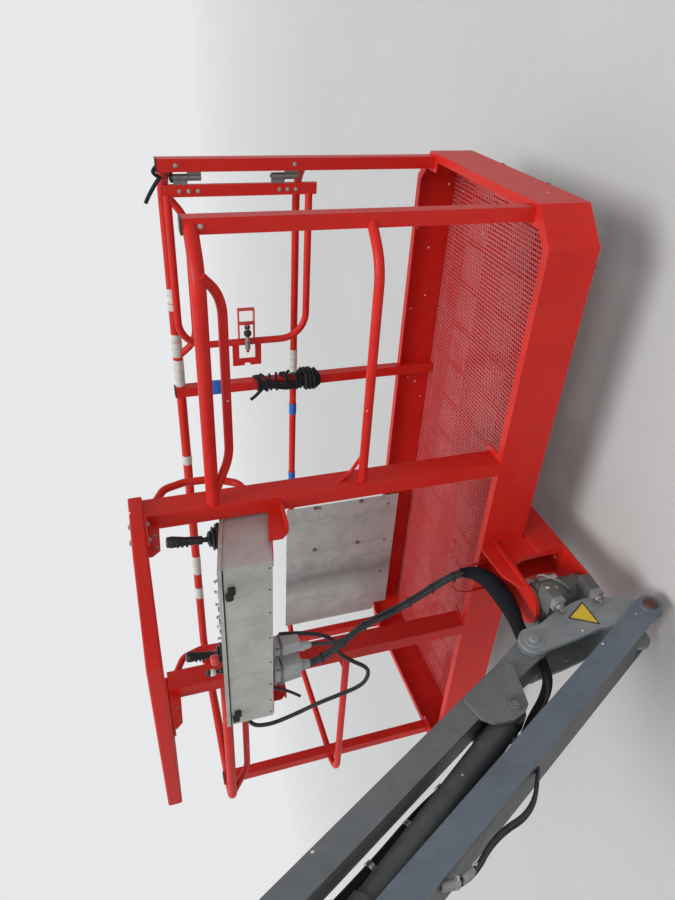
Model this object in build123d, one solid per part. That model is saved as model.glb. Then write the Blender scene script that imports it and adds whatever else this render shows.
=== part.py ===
from build123d import *
import os
from math import cos, hypot, radians, sin

os.makedirs("parts", exist_ok=True)

# Work platform on a boom lift's jib, in millimetres.
# Drawn with x away from the machine, y to its left and z up: x = 0 is the near outer face of the
# tray, y = 0 the middle of its length and z = 0 its underside. Written with the boom pivot as origin.
origin_x, origin_z = -1290.0, 1330.0

# tray and floor
tray_length, tray_width, tray_height = 2440.0, 904.0, 164.0
corner_x, corner_y = 88.5, 99.0
sheet, lip_wide, floor_flange = 5.0, 28.0, 40.0
floor_z, mesh_thick = 4.0, 4.0
bearer_low, bearer_wide = -8.0, 20.0
bearer_pitch = tray_length / 14.65
beam_wide, beam_pitch, beam_first = 127.0, 284.0, 195.0
foot_long, foot_wide, foot_high = 70.0, 40.0, 22.0

# posts and rails
post = 40.0
post_x, post_y = 118.0, tray_length / 2 - 30
middle_post_y = 870.0 - post_y
rail_top = 1122.0
top_r, mid_r, hand_r = 19.0, 14.0, 13.0
top_z, mid_z = rail_top - top_r, 640.0
near_rail_x, far_rail_x = 21.0, tray_width - 20
rail_bend, post_bend, hand_bend = 95.0, 145.0, 130.0
console_post_y, console_post_x, console_post_wide, console_post_deep = 390.0, 40.0, 50.0, 80.0
guard_z, guard_tube = 1320.0, 40.0
guard_front_x, guard_y, guard_turn_x, guard_front_y = -420.0, 410.0, -160.0, 290.0

# console
box_front, box_rear, box_y0, box_y1 = -200.0, 20.0, -354.0, 347.0
box_low_front, box_top_front = 975.0, 1117.0
tilt_drop = 42.0
lid_thick, lid_gap = 12.0, 1.0

# gate
gate_x, gate_axis_y = tray_width - post_x, 40 - post_y
gate_tube_r = 13.0
gate_low, gate_high = 620.0, 1098.0
gate_reach = tray_width - 2 * post_x - 73

# rotator and support
turn_x = -245.0
housing_r, housing_low, housing_high = 62.0, -94.0, 91.0
shaft_r, turning_gap = 25.0, 0.05
plate_thick, plate_top, plate_low = 12.0, 120.0, -112.0
tongue_r = 66.0
support_y = 58.0

# jib linkage, points as (x, z)
pin_r, pin_gap, open_gap = 19.0, 0.05, 0.35
boss_r = 46.0
jib_length, jib_angle = 1350.0, -62.5
upper_pin = (-443.0, 223.0)
lower_pin = (-425.0, -212.0)
barrel_pin = (-619.0, 384.0)
along = (cos(radians(jib_angle)), sin(radians(jib_angle)))
across = (-along[1], along[0])
foot_upper = (upper_pin[0] - jib_length * along[0], upper_pin[1] - jib_length * along[1])
foot_lower = (lower_pin[0] - jib_length * along[0], lower_pin[1] - jib_length * along[1])
rod_pin = (foot_upper[0] + 150 * along[0] - 150 * across[0],
           foot_upper[1] + 150 * along[1] - 150 * across[1])
boom_pin = (origin_x, origin_z)
tilt_pin = (-1240.0, 1050.0)
boom_bore_r, tilt_bore_r = 30.0, 20.0
plate_in, plate_out = 63.0, 75.0
arm_half, arm_deep = 50.0, 70.0
level_in, level_out, level_deep = 84.0, 90.0, 75.0


def bar(x0, x1, y0, y1, z0, z1):
    return Pos((x0 + x1) / 2, (y0 + y1) / 2, (z0 + z1) / 2) * Box(abs(x1 - x0), abs(y1 - y0), abs(z1 - z0))


def slab(points, y0, y1):
    """A plate of an (x, z) outline between two values of y."""
    face = make_face(Polyline(*[(x, 0, z) for x, z in points], close=True))
    return Pos(0, y0, 0) * extrude(face, amount=y1 - y0, dir=(0, 1, 0))


def flat(points, z0, z1):
    """A plate of an (x, y) outline between two values of z."""
    face = make_face(Polyline(*[(x, y) for x, y in points], close=True))
    return Pos(0, 0, z0) * extrude(face, amount=z1 - z0, dir=(0, 0, 1))


def cross(point, radius, y0, y1):
    """A round bar along y through an (x, z) point."""
    return Pos(point[0], (y0 + y1) / 2, point[1]) * Rot(90, 0, 0) * Cylinder(radius, abs(y1 - y0))


def upright(x, y, radius, z0, z1):
    return Pos(x, y, (z0 + z1) / 2) * Cylinder(radius, z1 - z0)


def rod(start, end, radius):
    """A round bar between two points."""
    span = Vector(*end) - Vector(*start)
    return Plane(origin=start, z_dir=span) * Pos(0, 0, span.length / 2) * Cylinder(radius, span.length)


def tube(points, radius, bends):
    """A round bar along straight runs joined by arcs."""
    path = FilletPolyline(*points, radius=bends) if bends else Polyline(*points)
    return sweep(Plane(origin=path @ 0, z_dir=path % 0) * Circle(radius), path=path)


def cord(points, radius):
    """A limp round cord: each arc takes 0.45 of its shorter run."""
    bends = []
    for a, b, c in zip(points, points[1:], points[2:]):
        one, two = Vector(*b) - Vector(*a), Vector(*c) - Vector(*b)
        half = radians(one.get_angle(two) / 2)
        bends.append(0.45 * min(one.length, two.length) / (sin(half) / cos(half)))
    print("cord radii", [round(r) for r in bends])
    path = FilletPolyline(*points, radius=bends)
    return sweep(Plane(origin=path @ 0, z_dir=path % 0) * Circle(radius), path=path)


def joined(parts):
    parts = list(parts)
    result = parts[0]
    for part in parts[1:]:
        result = result + part
    return result


def step_along(point, forward, side):
    """A point some way along the jib and across it, from an (x, z) point."""
    return (point[0] + forward * along[0] + side * across[0], point[1] + forward * along[1] + side * across[1])


def save(node, shape):
    placed = Pos(-origin_x, 0, -origin_z) * shape
    solids = placed.solids()
    export_step(Compound(children=list(solids)) if len(solids) > 1 else solids[0], "parts/" + node + ".step")


# jib foot: two cheeks on the boom pivot, with hubs and webs between them
cheek = [step_along(foot_upper, 30, 40), (foot_upper[0] - 60, foot_upper[1] + 40), (boom_pin[0] - 30, boom_pin[1] + 55),
         (boom_pin[0] - 60, boom_pin[1] - 30), (tilt_pin[0] - 45, tilt_pin[1] - 10), (tilt_pin[0] + 10, tilt_pin[1] - 48),
         (foot_lower[0] - 30, foot_lower[1] - 40), (foot_lower[0] + 46, foot_lower[1] + 10),
         (foot_upper[0] - 25, foot_upper[1] - 190), (foot_upper[0] + 46, foot_upper[1] - 20)]
hub_r, tilt_hub_r = 46.0, 36.0
foot_sides = []
for side in (-1, 1):
    foot_sides.append(slab(cheek, side * plate_in, side * plate_out))
    foot_sides.append(cross(foot_upper, boss_r, side * plate_in, side * plate_out))
    foot_sides.append(cross(foot_lower, boss_r, side * plate_in, side * plate_out))
    foot_sides.append(cross(boom_pin, hub_r + 10, side * plate_in, side * (plate_out + 10)))
    foot_sides.append(cross(tilt_pin, tilt_hub_r + 8, side * plate_in, side * plate_out))
    foot_sides.append(cross(rod_pin, 34, side * plate_in, side * (plate_in - 14)))
jib_foot = joined(foot_sides) - cross(boom_pin, hub_r, -120, 120) - cross(tilt_pin, tilt_hub_r, -120, 120)
jib_foot = jib_foot - cross(foot_upper, pin_r, -120, 120) - cross(foot_lower, pin_r, -120, 120)
save("jib_foot", jib_foot)
web_x = origin_x + 22
hubs = joined([cross(boom_pin, hub_r, -plate_out - 10, plate_out + 10), cross(tilt_pin, tilt_hub_r, -plate_out, plate_out),
               bar(web_x, web_x + 12, -plate_in, plate_in, tilt_pin[1] + 25, boom_pin[1] - 40)])
hubs = hubs - cross(boom_pin, boom_bore_r, -120, 120) - cross(tilt_pin, tilt_bore_r, -120, 120)
save("foot_hubs", hubs)


def headed_pin(point, half, radius=None, head=25.0):
    radius = radius or pin_r
    return joined([cross(point, radius, -half, half), cross(point, head, -half - 8, -half), cross(point, head, half, half + 8)])


def stub_pin(point, side, inner, outer):
    """A short headed pin on one side, so that the cylinder passes between the two."""
    return cross(point, pin_r, side * inner, side * outer) + cross(point, 28, side * outer, side * (outer + 8))


foot_pins = [headed_pin(foot_upper, plate_out)] + [stub_pin(foot_lower, s, plate_in - 13, level_out + 4) for s in (-1, 1)]
save("foot_pins", joined(foot_pins))

# jib arm: a box beam with a pair of eyes at each end
beam_angle = Rot(0, -jib_angle, 0)


def along_jib(start, s0, s1, side, wide, deep):
    """A bar along the jib from s0 to s1, its middle offset across it."""
    middle = step_along(start, (s0 + s1) / 2, side)
    return Pos(middle[0], 0, middle[1]) * beam_angle * Box(s1 - s0, wide, deep)


beam_start, beam_end = 95.0, jib_length - 150.0
jib_arm = along_jib(foot_upper, beam_start, beam_end, 0, 2 * arm_half, arm_deep)
ears = []
for side in (-1, 1):
    y0, y1 = side * (arm_half - 12), side * arm_half
    for eye, inner in ((foot_upper, beam_start + 5), (upper_pin, -155)):
        ears.append(cross(eye, boss_r, y0, side * (arm_half + 10)))
        ears.append(slab([step_along(eye, 0, 42), step_along(eye, inner, arm_deep / 2), step_along(eye, inner, -arm_deep / 2),
                          step_along(eye, 0, -44)], y0, y1))
jib_arm = joined([jib_arm] + ears)
jib_arm = jib_arm - cross(foot_upper, pin_r + pin_gap, -120, 120) - cross(upper_pin, pin_r + pin_gap, -120, 120)
save("jib_arm", jib_arm)

bracket = [(-566, 517), (-633, 497), (-655, 470), (-662, 412), (-650, 372), (-630, 350), (-600, 343), (-545, 334), (-500, 325),
           (-487, 340), (-520, 430)]
bracket_half = arm_half + 12
cylinder_bracket = joined([slab(bracket, s * arm_half, s * bracket_half) for s in (-1, 1)])
cylinder_bracket = joined([solid - cross(barrel_pin, 16, -120, 120) for solid in cylinder_bracket.solids()])
save("cylinder_bracket", cylinder_bracket)
save("cylinder_pin", headed_pin(barrel_pin, bracket_half, 16, 20))

# level arm: an open channel over both cheeks
level_start, level_end = 120.0, jib_length - 120.0
walls = []
for side in (-1, 1):
    y0, y1 = side * level_in, side * level_out
    top, low = level_deep / 2, -level_deep / 2
    walls.append(slab([step_along(foot_lower, 0, top), step_along(foot_lower, jib_length, top),
                       step_along(foot_lower, jib_length, low), step_along(foot_lower, 0, low)], y0, y1))
    walls.append(cross(foot_lower, level_deep / 2, y0, side * (level_out + 4)))
    walls.append(cross(lower_pin, level_deep / 2, y0, side * (level_out + 4)))
web = along_jib(foot_lower, level_start, level_end, -level_deep / 2 + 3, 2 * level_in, 6)
level_arm = joined(walls + [web])
level_arm = level_arm - cross(foot_lower, pin_r + pin_gap, -120, 120) - cross(lower_pin, pin_r + open_gap, -120, 120)
save("level_arm", level_arm)

# cylinder under the jib arm, from its bracket up to the foot
cyl_dx, cyl_dz = rod_pin[0] - barrel_pin[0], rod_pin[1] - barrel_pin[1]
cyl_length = hypot(cyl_dx, cyl_dz)
ux, uz = cyl_dx / cyl_length, cyl_dz / cyl_length


def on_cylinder(s):
    return (barrel_pin[0] + s * ux, 0, barrel_pin[1] + s * uz)


def under_barrel(s, out, y):
    """A point by its distance along the cylinder and out from its axis on the lower side."""
    return (barrel_pin[0] + s * ux - out * uz, y, barrel_pin[1] + s * uz + out * ux)


barrel_long, barrel_r, rod_r = 690.0, 38.0, 20.0
port_s, port_out = 62.0, 50.0
barrel = joined([rod(on_cylinder(38), on_cylinder(barrel_long), barrel_r),
                 rod(on_cylinder(barrel_long - 45), on_cylinder(barrel_long), barrel_r + 5),
                 cross(barrel_pin, 36, -26, 26), rod(on_cylinder(10), on_cylinder(45), 30),
                 rod(under_barrel(port_s, 10, 0), under_barrel(port_s, port_out + 10, 0), 11),
                 rod(under_barrel(port_s, port_out, 0), under_barrel(port_s - 26, port_out, 0), 8)])
barrel = barrel - cross(barrel_pin, 16.05, -60, 60) - rod(on_cylinder(90), on_cylinder(barrel_long + 20), rod_r + 0.05)
save("cylinder_barrel", barrel)
rod_solid = joined([rod(on_cylinder(130), on_cylinder(cyl_length - 30), rod_r), cross((on_cylinder(cyl_length)[0], on_cylinder(cyl_length)[2]), 33, -24, 24)])
save("cylinder_rod", rod_solid)
save("rod_eye_pin_ends", joined([cross(rod_pin, 15, s * 24, s * 34) for s in (-1, 1)]))

# knuckle: two cheeks joined by a web, with ears for the rotator
knuckle_outline = [(-402, 242), (-392, 172), (-358, 93), (-338, 8), (-330, -68), (-356, -122), (-385, -205), (-425, -212),
                   (-466, -205), (-463, -61), (-455, -5), (-473, 99), (-488, 223), (-443, 223)]
ear_rows = [(78.0, 18.0), (-66.0, 18.0)]
ear_x, lug_x, lug_y = -352.0, -332.0, 108.0
cheeks = []
for side in (-1, 1):
    cheeks.append(slab(knuckle_outline, side * plate_in, side * plate_out))
    cheeks.append(cross(upper_pin, boss_r, side * plate_in, side * plate_out))
    cheeks.append(cross(lower_pin, boss_r, side * plate_in, side * plate_out))
    for z, half in ear_rows:
        cheeks.append(bar(ear_x, lug_x, side * (plate_out - 6), side * lug_y, z - half, z + half))
knuckle = joined(cheeks + [bar(-378, -364, -plate_in, plate_in, -118, 118)])
knuckle = knuckle - cross(upper_pin, pin_r, -120, 120) - cross(lower_pin, pin_r, -120, 120)
knuckle = knuckle - bar(lug_x, lug_x + 100, -120, 120, -150, 110)
save("knuckle", knuckle)
save("knuckle_pins", headed_pin(upper_pin, plate_out) + headed_pin(lower_pin, level_out + 4))

# rotator: housing with four lugs, and the shaft that carries the platform
housing = upright(turn_x, 0, housing_r, housing_low, housing_high)
lugs = [bar(lug_x, turn_x - 20, s * 30, s * lug_y, z - half, z + half) for s in (-1, 1) for z, half in ear_rows]
housing = joined([housing] + lugs) - upright(turn_x, 0, shaft_r + turning_gap, -200, 200)
save("rotator_housing", housing)
bolts = []
for s in (-1, 1):
    for z, half in ear_rows:
        bolts.append(Pos(ear_x - 8, s * 92, z) * Rot(0, 90, 0) * extrude(RegularPolygon(14, 6), amount=8, both=True))
        bolts.append(Pos(ear_x - 26, s * 92, z) * Rot(0, 90, 0) * Cylinder(8, 20))
rotator_nuts = [joined(pair) for pair in zip(bolts[0::2], bolts[1::2])]
save("rotator_nuts", joined(rotator_nuts))
shaft = joined([upright(turn_x, 0, shaft_r, plate_low, plate_top - plate_thick),
                upright(turn_x, 0, 60, housing_high + 5, plate_top - plate_thick),
                upright(turn_x, 0, 56, plate_low, housing_low - 5)])
save("rotator_shaft", shaft)

# support: a tongue above and below the rotator, side plates, gussets and beams under the tray


def tongue(z0, z1, rear):
    body = bar(turn_x, rear, -tongue_r, tongue_r, z0, z1)
    return body + upright(turn_x, 0, tongue_r, z0, z1)


turning_room = upright(turn_x, 0, 70, plate_low, plate_top - plate_thick)
pieces = [tongue(plate_top - plate_thick, plate_top, 0), tongue(plate_low - plate_thick, plate_low, 600)]
upper_side = [(0, 108), (-228, 108), (-190, 104), (-138, 101), (-112, 88), (-101, 58), (-96, -10), (-96, -112), (0, -112)]
gusset = [(0, 120), (-225, 120), (-218, 138), (-154, 169), (-24, 176), (0, 164)]
lower_side = [(-96, -8), (-90, -112), (600, -112), (560, -60), (480, -8)]
for side in (-1, 1):
    pieces.append(slab(upper_side, side * (support_y - 12), side * support_y))
    pieces.append(slab(gusset, side * (support_y - 8), side * support_y))
    pieces.append(slab(lower_side, side * support_y, side * (support_y + 8)))
platform_support = joined(pieces) - turning_room
save("platform_support", platform_support)
hoop = tube([(-4, 168, 112), (-4, 165, 215), (-4, 98, 258), (-4, 30, 215), (-4, 28, plate_top)], 4, 30)
save("cable_hoop", hoop)

# tray: toe boards with an inward lip, floor flange, corner plates
half_l = tray_length / 2
diagonal = hypot(corner_x, corner_y)


def outline_at(inset):
    """The tray's eight corners, moved inwards, from the near right one on."""
    x1 = (corner_x * corner_y + inset * diagonal - corner_x * inset) / corner_y
    y1 = (corner_x * corner_y + inset * diagonal - corner_y * inset) / corner_x
    return [(inset, -half_l + y1), (x1, -half_l + inset), (tray_width - x1, -half_l + inset), (tray_width - inset, -half_l + y1),
            (tray_width - inset, half_l - y1), (tray_width - x1, half_l - inset), (x1, half_l - inset), (inset, half_l - y1)]


def ring(outer_in, inner_in, z0, z1):
    return flat(outline_at(outer_in), z0, z1) - flat(outline_at(inner_in), z0, z1)


def board(i):
    """One straight wall of the tray, mitred at both ends."""
    outer, inner = outline_at(0), outline_at(sheet)
    j = (i + 1) % 8
    return flat([outer[i], outer[j], inner[j], inner[i]], 0, tray_height)


post_places = {"near_right": (post_x, -post_y, tray_height), "far_right": (tray_width - post_x, -post_y, tray_height),
               "near_left": (post_x, post_y, tray_height), "far_left": (tray_width - post_x, post_y, tray_height),
               "far_middle": (tray_width - sheet - post / 2, middle_post_y, floor_z)}
post_solids = [bar(x - post / 2, x + post / 2, y - post / 2, y + post / 2, z, rail_top + 3) for x, y, z in post_places.values()]
posts = joined(post_solids)
console_posts = joined([bar(console_post_x - console_post_deep / 2, console_post_x + console_post_deep / 2,
                            s * console_post_y - console_post_wide / 2, s * console_post_y + console_post_wide / 2,
                            tray_height, guard_z - guard_tube / 2) for s in (-1, 1)])
save("toe_boards", joined([board(i) for i in (1, 3, 5, 7)]))
save("corner_boards", joined([board(i) for i in (0, 2, 4, 6)]))
save("tray_lip", ring(sheet, lip_wide, tray_height - sheet, tray_height) - posts)
save("floor_flange", ring(sheet, floor_flange, 0, floor_z))
inner_lip = flat(outline_at(lip_wide), tray_height - sheet, tray_height)
seat = 32.0
plate_x, plate_y = post_x + seat, post_y - seat
corners = []
for x0, x1 in ((0, plate_x), (tray_width - plate_x, tray_width)):
    for y0, y1 in ((-half_l, -plate_y), (plate_y, half_l)):
        corners.append(bar(x0, x1, y0, y1, tray_height - sheet, tray_height) & inner_lip)
corners += [bar(lip_wide, 92, s * console_post_y - 45, s * console_post_y + 45, tray_height - sheet, tray_height) for s in (-1, 1)]
panel_x, panel_thick, panel_long, panel_y1 = far_rail_x - 29, 4.0, 799.0, post_y - 26
panel_y0, panel_step = panel_y1 - panel_long, panel_y1 - 48
far_panel = bar(panel_x, panel_x + panel_thick, panel_y0, panel_step, 100, 668)
far_panel = far_panel + bar(panel_x, panel_x + panel_thick, panel_step, panel_y1, tray_height + 8, 668)
save("post_plates", joined(corners) - far_panel)
span_x = (floor_flange + 6, tray_width - floor_flange - 6)
span_y = (-half_l + floor_flange, half_l - floor_flange)
bearer_mid = (bearer_low + floor_z) / 2
beams = [(beam_first + i * beam_pitch, min(beam_first + i * beam_pitch + beam_wide, tray_width - 50)) for i in range(3)]
save("long_bearers", joined([bar(x0, x1, span_y[0], span_y[1], bearer_low, bearer_mid) for x0, x1 in beams]))
cross_y = [(i + 0.5) * bearer_pitch for i in range(-7, 7)]
floor = flat(outline_at(sheet + 1), floor_z, floor_z + mesh_thick) - post_solids[-1]
open_edges = [span_x[0]] + [x for beam in beams for x in beam][:-1]
for x0, x1 in zip(open_edges[0::2], open_edges[1::2]):
    for i in range(-5, 6):
        y, half = i * bearer_pitch, (bearer_pitch - bearer_wide) / 2 - 3
        floor = floor - bar(x0 + 4, x1 - 4, y - half, y + half, 0, 20)
save("floor_mesh", floor)
save("cross_bearers", joined([bar(span_x[0], span_x[1], y - bearer_wide / 2, y + bearer_wide / 2, bearer_mid, floor_z) for y in cross_y]))
feet = [bar(x - foot_wide / 2, x + foot_wide / 2, y - foot_long / 2, y + foot_long / 2, -foot_high, 0)
        for x in (24, tray_width - 24) for y in (160 - half_l, half_l - 160)]
save("rubber_feet", joined(feet))
save("rail_posts", posts)
save("console_posts", console_posts)

# rails: the near right one ends at the gate post, the other runs round the left end to the gate
all_posts = posts + console_posts
middle_x = tray_width - sheet - post / 2
middle_cut = bar(middle_x - post / 2 - 1, tray_width + 6, middle_post_y - post / 2, middle_post_y + post / 2, 100, rail_top + 3)


def rail_run(z, radius, inset):
    near = near_rail_x + inset
    right = tube([(near, -console_post_y, z), (near, -half_l + corner_y + 20, z), (post_x - 8, -post_y + 6, z)], radius, post_bend)
    end_y = post_y + post / 2 + radius - 2
    left = tube([(near, console_post_y, z), (near, end_y, z), (far_rail_x, end_y, z), (far_rail_x, -half_l + corner_y + 20, z),
                 (tray_width - post_x + 8, -post_y + 6, z)], radius, [rail_bend, rail_bend, post_bend])
    return ((right + left) - all_posts) - middle_cut


save("top_rails", rail_run(top_z, top_r, 0))
save("mid_rails", rail_run(mid_z, mid_r, 0))
near_hand_x, far_hand_x = near_rail_x + 39, far_rail_x - 34
hand_rows = [
    # x, first y, first drop y, last drop y, last y, low z
    (near_hand_x, -console_post_y - 50, -console_post_y - 150, 160 - post_y, 92 - post_y, 1043.0),
    (near_hand_x, console_post_y + 50, console_post_y + 170, post_y - 140, post_y - 40, 1030.0),
    (far_hand_x, middle_post_y - 150, middle_post_y - 225, 190 - post_y, 110 - post_y, 1032.0),
]
hands = []
for x, ya, yb, yc, yd, low in hand_rows:
    reach = near_rail_x if x < tray_width / 2 else far_rail_x
    hands.append(tube([(reach, ya, top_z - 4), (x, yb, low), (x, yc, low), (reach, yd, top_z - 4)], hand_r, hand_bend))
top_rail_solid = rail_run(top_z, top_r, 0)
save("hand_rails", (joined(hands) - top_rail_solid) - all_posts)
mid_rail_solid = rail_run(mid_z, mid_r, 0)
braces = [tube([(near_rail_x, s * (console_post_y + 15), mid_z + 95), (near_rail_x + 31, s * (console_post_y + 40), mid_z + 28),
                (near_rail_x + 10, s * (console_post_y + 110), mid_z + 4)], 6, 25) for s in (-1, 1)]
save("rail_braces", (joined(braces) - all_posts) - mid_rail_solid)

# tube guards behind the console posts, the bent bar over the console and its brackets
guard_line = [(30, -45), (110, -85), (132, -150), (128, -240), (90, -308), (30, -330)]
guards = [tube([(console_post_x + x, s * console_post_y, guard_z + z) for x, z in guard_line], 12, 45) for s in (-1, 1)]
save("operator_guards", joined(guards) - all_posts)
bar_x = console_post_x + console_post_deep / 2 - 2
bar_path = Polyline((bar_x, -guard_y, guard_z), (guard_turn_x, -guard_y, guard_z), (guard_front_x, -guard_front_y, guard_z),
                    (guard_front_x, guard_front_y, guard_z), (guard_turn_x, guard_y, guard_z), (bar_x, guard_y, guard_z))
bar_section = Plane(origin=bar_path @ 0, z_dir=bar_path % 0) * RectangleRounded(guard_tube, guard_tube, 6)
save("top_guard", sweep(bar_section, path=bar_path, transition=Transition.RIGHT))
guard_seat = guard_z - guard_tube / 2
brackets = []
for s in (-1, 1):
    shape = [(x, guard_seat + z) for x, z in ((0, 0), (-138, 0), (-138, -10), (-118, -32), (0, -38))]
    brackets.append(slab(shape, s * (console_post_y - 4), s * (console_post_y + 2)))
    brackets.append(bar(-138, 0, s * (console_post_y - 4), s * (guard_y + 18), guard_seat - 6, guard_seat))
save("guard_brackets", joined(brackets))
lows = []
for s in (-1, 1):
    arm = [(x, box_low_front + z) for x, z in ((0, -30), (-132, -3), (-132, -45), (-110, -67), (0, -75))]
    foot = [(x, box_low_front + z) for x, z in ((0, -68), (0, -75), (-110, -68), (-110, -61))]
    lows.append(slab(arm, s * (console_post_y - 23), s * (console_post_y - 17)))
    lows.append(slab(foot, s * (console_post_y - 23), s * (console_post_y + 10)))

# console: an open box with a hinged lid that carries the controls
drop = tilt_drop / (box_rear - box_front)


def tilted(x, z):
    """The height of a console line at x, for its height at the front."""
    return z - (x - box_front) * drop


def wedge(x0, x1, y0, y1, z0, z1):
    return slab([(x0, tilted(x0, z0)), (x0, tilted(x0, z1)), (x1, tilted(x1, z1)), (x1, tilted(x1, z0))], y0, y1)


wall = 3.0
console_box = wedge(box_front, box_rear, box_y0, box_y1, box_low_front, box_top_front)
console_box = console_box - wedge(box_front + wall, box_rear - wall, box_y0 + wall, box_y1 - wall, box_low_front + wall, box_top_front + 5)
ledges = [wedge(box_front + 20, box_rear - 20, s0, s1, box_low_front - 3, box_low_front)
          for s0, s1 in ((-console_post_y + 25, box_y0 + 40), (box_y1 - 40, console_post_y - 25))]
save("console_box", console_box)
save("console_brackets", joined(lows + ledges) - console_posts)
lid_low, lid_top = box_top_front + lid_gap, box_top_front + lid_gap + lid_thick
lid = wedge(box_front - 3, box_rear + 3, box_y0 - 3, box_y1 + 3, lid_low, lid_top)
save("console_lid", lid)


def lid_height(x):
    return tilted(x, lid_top)


def stick(x, y, high, r_boot, r_grip):
    base, top = lid_height(x) + 0.5, lid_height(x) + high
    rings = [Pos(x, y, base + 6 + 9 * i) * Cylinder(r_boot - 3.2 * i, 9) for i in range(4)]
    plate = Pos(x, y, base) * Box(r_boot * 2 + 12, r_boot * 2 + 12, 8)
    stem = upright(x, y, 7, base, top - 60)
    grip = Pos(x, y, (top + base + 45) / 2) * Cylinder(r_grip, top - base - 45)
    return joined([plate] + rings + [stem, grip])


sticks = joined([stick(-28, -320, 153.8, 24, 16), stick(-28, 190, 134.8, 22, 17)]) - lid
save("joysticks", sticks)
knobs = [upright(-118, 110, 19, lid_height(-118) - 8, lid_height(-118) + 46), upright(-118, 168, 11, lid_height(-118) - 5, lid_height(-118) + 40),
         Pos(-118, 168, lid_height(-118) + 44) * Sphere(13)]
for i in range(6):
    knobs.append(upright(-60, -180 + 52 * i, 6, lid_height(-60) - 3, lid_height(-60) + 24))
save("switches", joined(knobs) - lid)
latches = []
for y in (300, -262):
    latches.append(bar(box_front - 10, box_front, y - 24, y + 24, box_top_front - 32, box_top_front - 5))
save("lid_latches", joined(latches))
plug_top, gland_low = box_low_front - 7, box_low_front - 137
plugs = [bar(-185, -118, 150, 220, plug_top - 96, plug_top), bar(-172, -124, 48, 102, plug_top - 94, plug_top - 2)]
glands = [upright(-150, 185, 15, gland_low, gland_low + 36), upright(-148, 94, 13, gland_low + 2, gland_low + 48)]
console_plugs = joined([a + b for a, b in zip(plugs, glands)]) - wedge(box_front, box_rear, box_y0, box_y1, box_low_front, box_top_front)
save("console_plugs", console_plugs)
hinge_x, hinge_z, barrel_out = box_rear + 12, tilted(box_rear, box_top_front) - 2, 7.0
hinge_half = 30.0
box_side, lid_side = [], []
for y in (-230, 230):
    axis = Plane(origin=(hinge_x, y, hinge_z), z_dir=(0, 1, 0))
    pin = axis * Cylinder(3, 2 * hinge_half)
    low_leaf = bar(box_rear, hinge_x, y - hinge_half, y - 1, hinge_z - barrel_out, hinge_z - 3)
    back_leaf = bar(box_rear, box_rear + 3, y - hinge_half, y - 1, hinge_z - 30, hinge_z - 3)
    turned = axis * Pos(0, 0, -(hinge_half + 1) / 2) * Cylinder(barrel_out, hinge_half - 1)
    box_side.append(joined([pin, turned, low_leaf, back_leaf]))
    turned = axis * Pos(0, 0, (hinge_half + 1) / 2) * Cylinder(barrel_out, hinge_half - 1)
    leaf = bar(box_rear + 3, hinge_x, y + 1, y + hinge_half, hinge_z + 3, hinge_z + barrel_out)
    lid_side.append(joined([turned, leaf]) - axis * Cylinder(3.05, 3 * hinge_half))
save("box_hinges", joined(box_side))
save("lid_hinges", joined(lid_side))

# grey sheet inside the far rails
spacer_y = [panel_y0 + 45, (panel_y0 + panel_step) / 2, panel_step - 16]
spacers = [rod((panel_x + panel_thick, y, mid_z), (far_rail_x - mid_r + 3, y, mid_z), 6) for y in spacer_y]
save("far_panel", far_panel)
save("panel_spacers", joined(spacers) - mid_rail_solid)

# gate, hung on the far right post and swung open along the far side
hinge_rows = [(662.0, 90.0), (985.0, 90.0)]
post_face = -post_y + post / 2
gate_end = gate_axis_y + gate_reach
gate_start_y = gate_axis_y + 54
gate_tube = tube([(gate_x, gate_start_y, gate_high), (gate_x, gate_end, gate_high), (gate_x, gate_end, gate_low),
                  (gate_x, gate_start_y, gate_low)], gate_tube_r, 100)
gate_post = bar(gate_x - 8, gate_x + 8, gate_axis_y + 22, gate_axis_y + 60, gate_low - 26, gate_high + 8)
gate_frame = gate_tube + gate_post
save("gate_frame", gate_frame)
fixed_knuckles, moving_knuckles = [], []
for z, high in hinge_rows:
    half = high / 2
    fixed_knuckles.append(joined([upright(gate_x, gate_axis_y, 11, z, z + half - 1), bar(gate_x - 6, gate_x + 6, post_face, gate_axis_y, z, z + half - 1),
                                  upright(gate_x, gate_axis_y, 5, z, z + high + 4)]))
    moving_knuckles.append(joined([upright(gate_x, gate_axis_y, 11, z + half, z + high),
                                   bar(gate_x - 6, gate_x + 6, gate_axis_y, gate_axis_y + 22, z + half, z + high)])
                           - upright(gate_x, gate_axis_y, 5.05, z - 5, z + high + 10))
save("gate_hinge_post_side", joined(fixed_knuckles))
save("gate_hinges", joined(moving_knuckles))
latch_z, latch_half = 850.0, 55.0
latch_plate = bar(gate_x - 4, gate_x + 4, gate_end + 8, gate_end + 98, latch_z - latch_half, latch_z + latch_half)
latch_plate = latch_plate - bar(gate_x - 10, gate_x + 10, gate_end, gate_end + 70, latch_z - 32, latch_z + 30)
latch_plate = latch_plate - bar(gate_x - 10, gate_x + 10, gate_end + 88, gate_end + 100, latch_z - 12, latch_z + 10)
straps = [bar(gate_x - 10, gate_x + 10, gate_end - 132, gate_end, latch_z + z, latch_z + z + 4) for z in (-31, 27)]
straps.append(bar(gate_x - 10, gate_x + 10, gate_end - 132, gate_end - 127, latch_z - 31, latch_z + 31))
bolt_x = gate_x - 20
latch = joined([latch_plate] + straps + [rod((bolt_x, gate_end - 80, latch_z), (bolt_x, gate_end + 34, latch_z), 6),
                                         bar(bolt_x, gate_x, gate_end - 82, gate_end - 76, latch_z - 29, latch_z + 29),
                                         Pos(bolt_x - 4, gate_end - 44, latch_z) * Sphere(13)])
save("gate_latch", latch - gate_frame)
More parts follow.
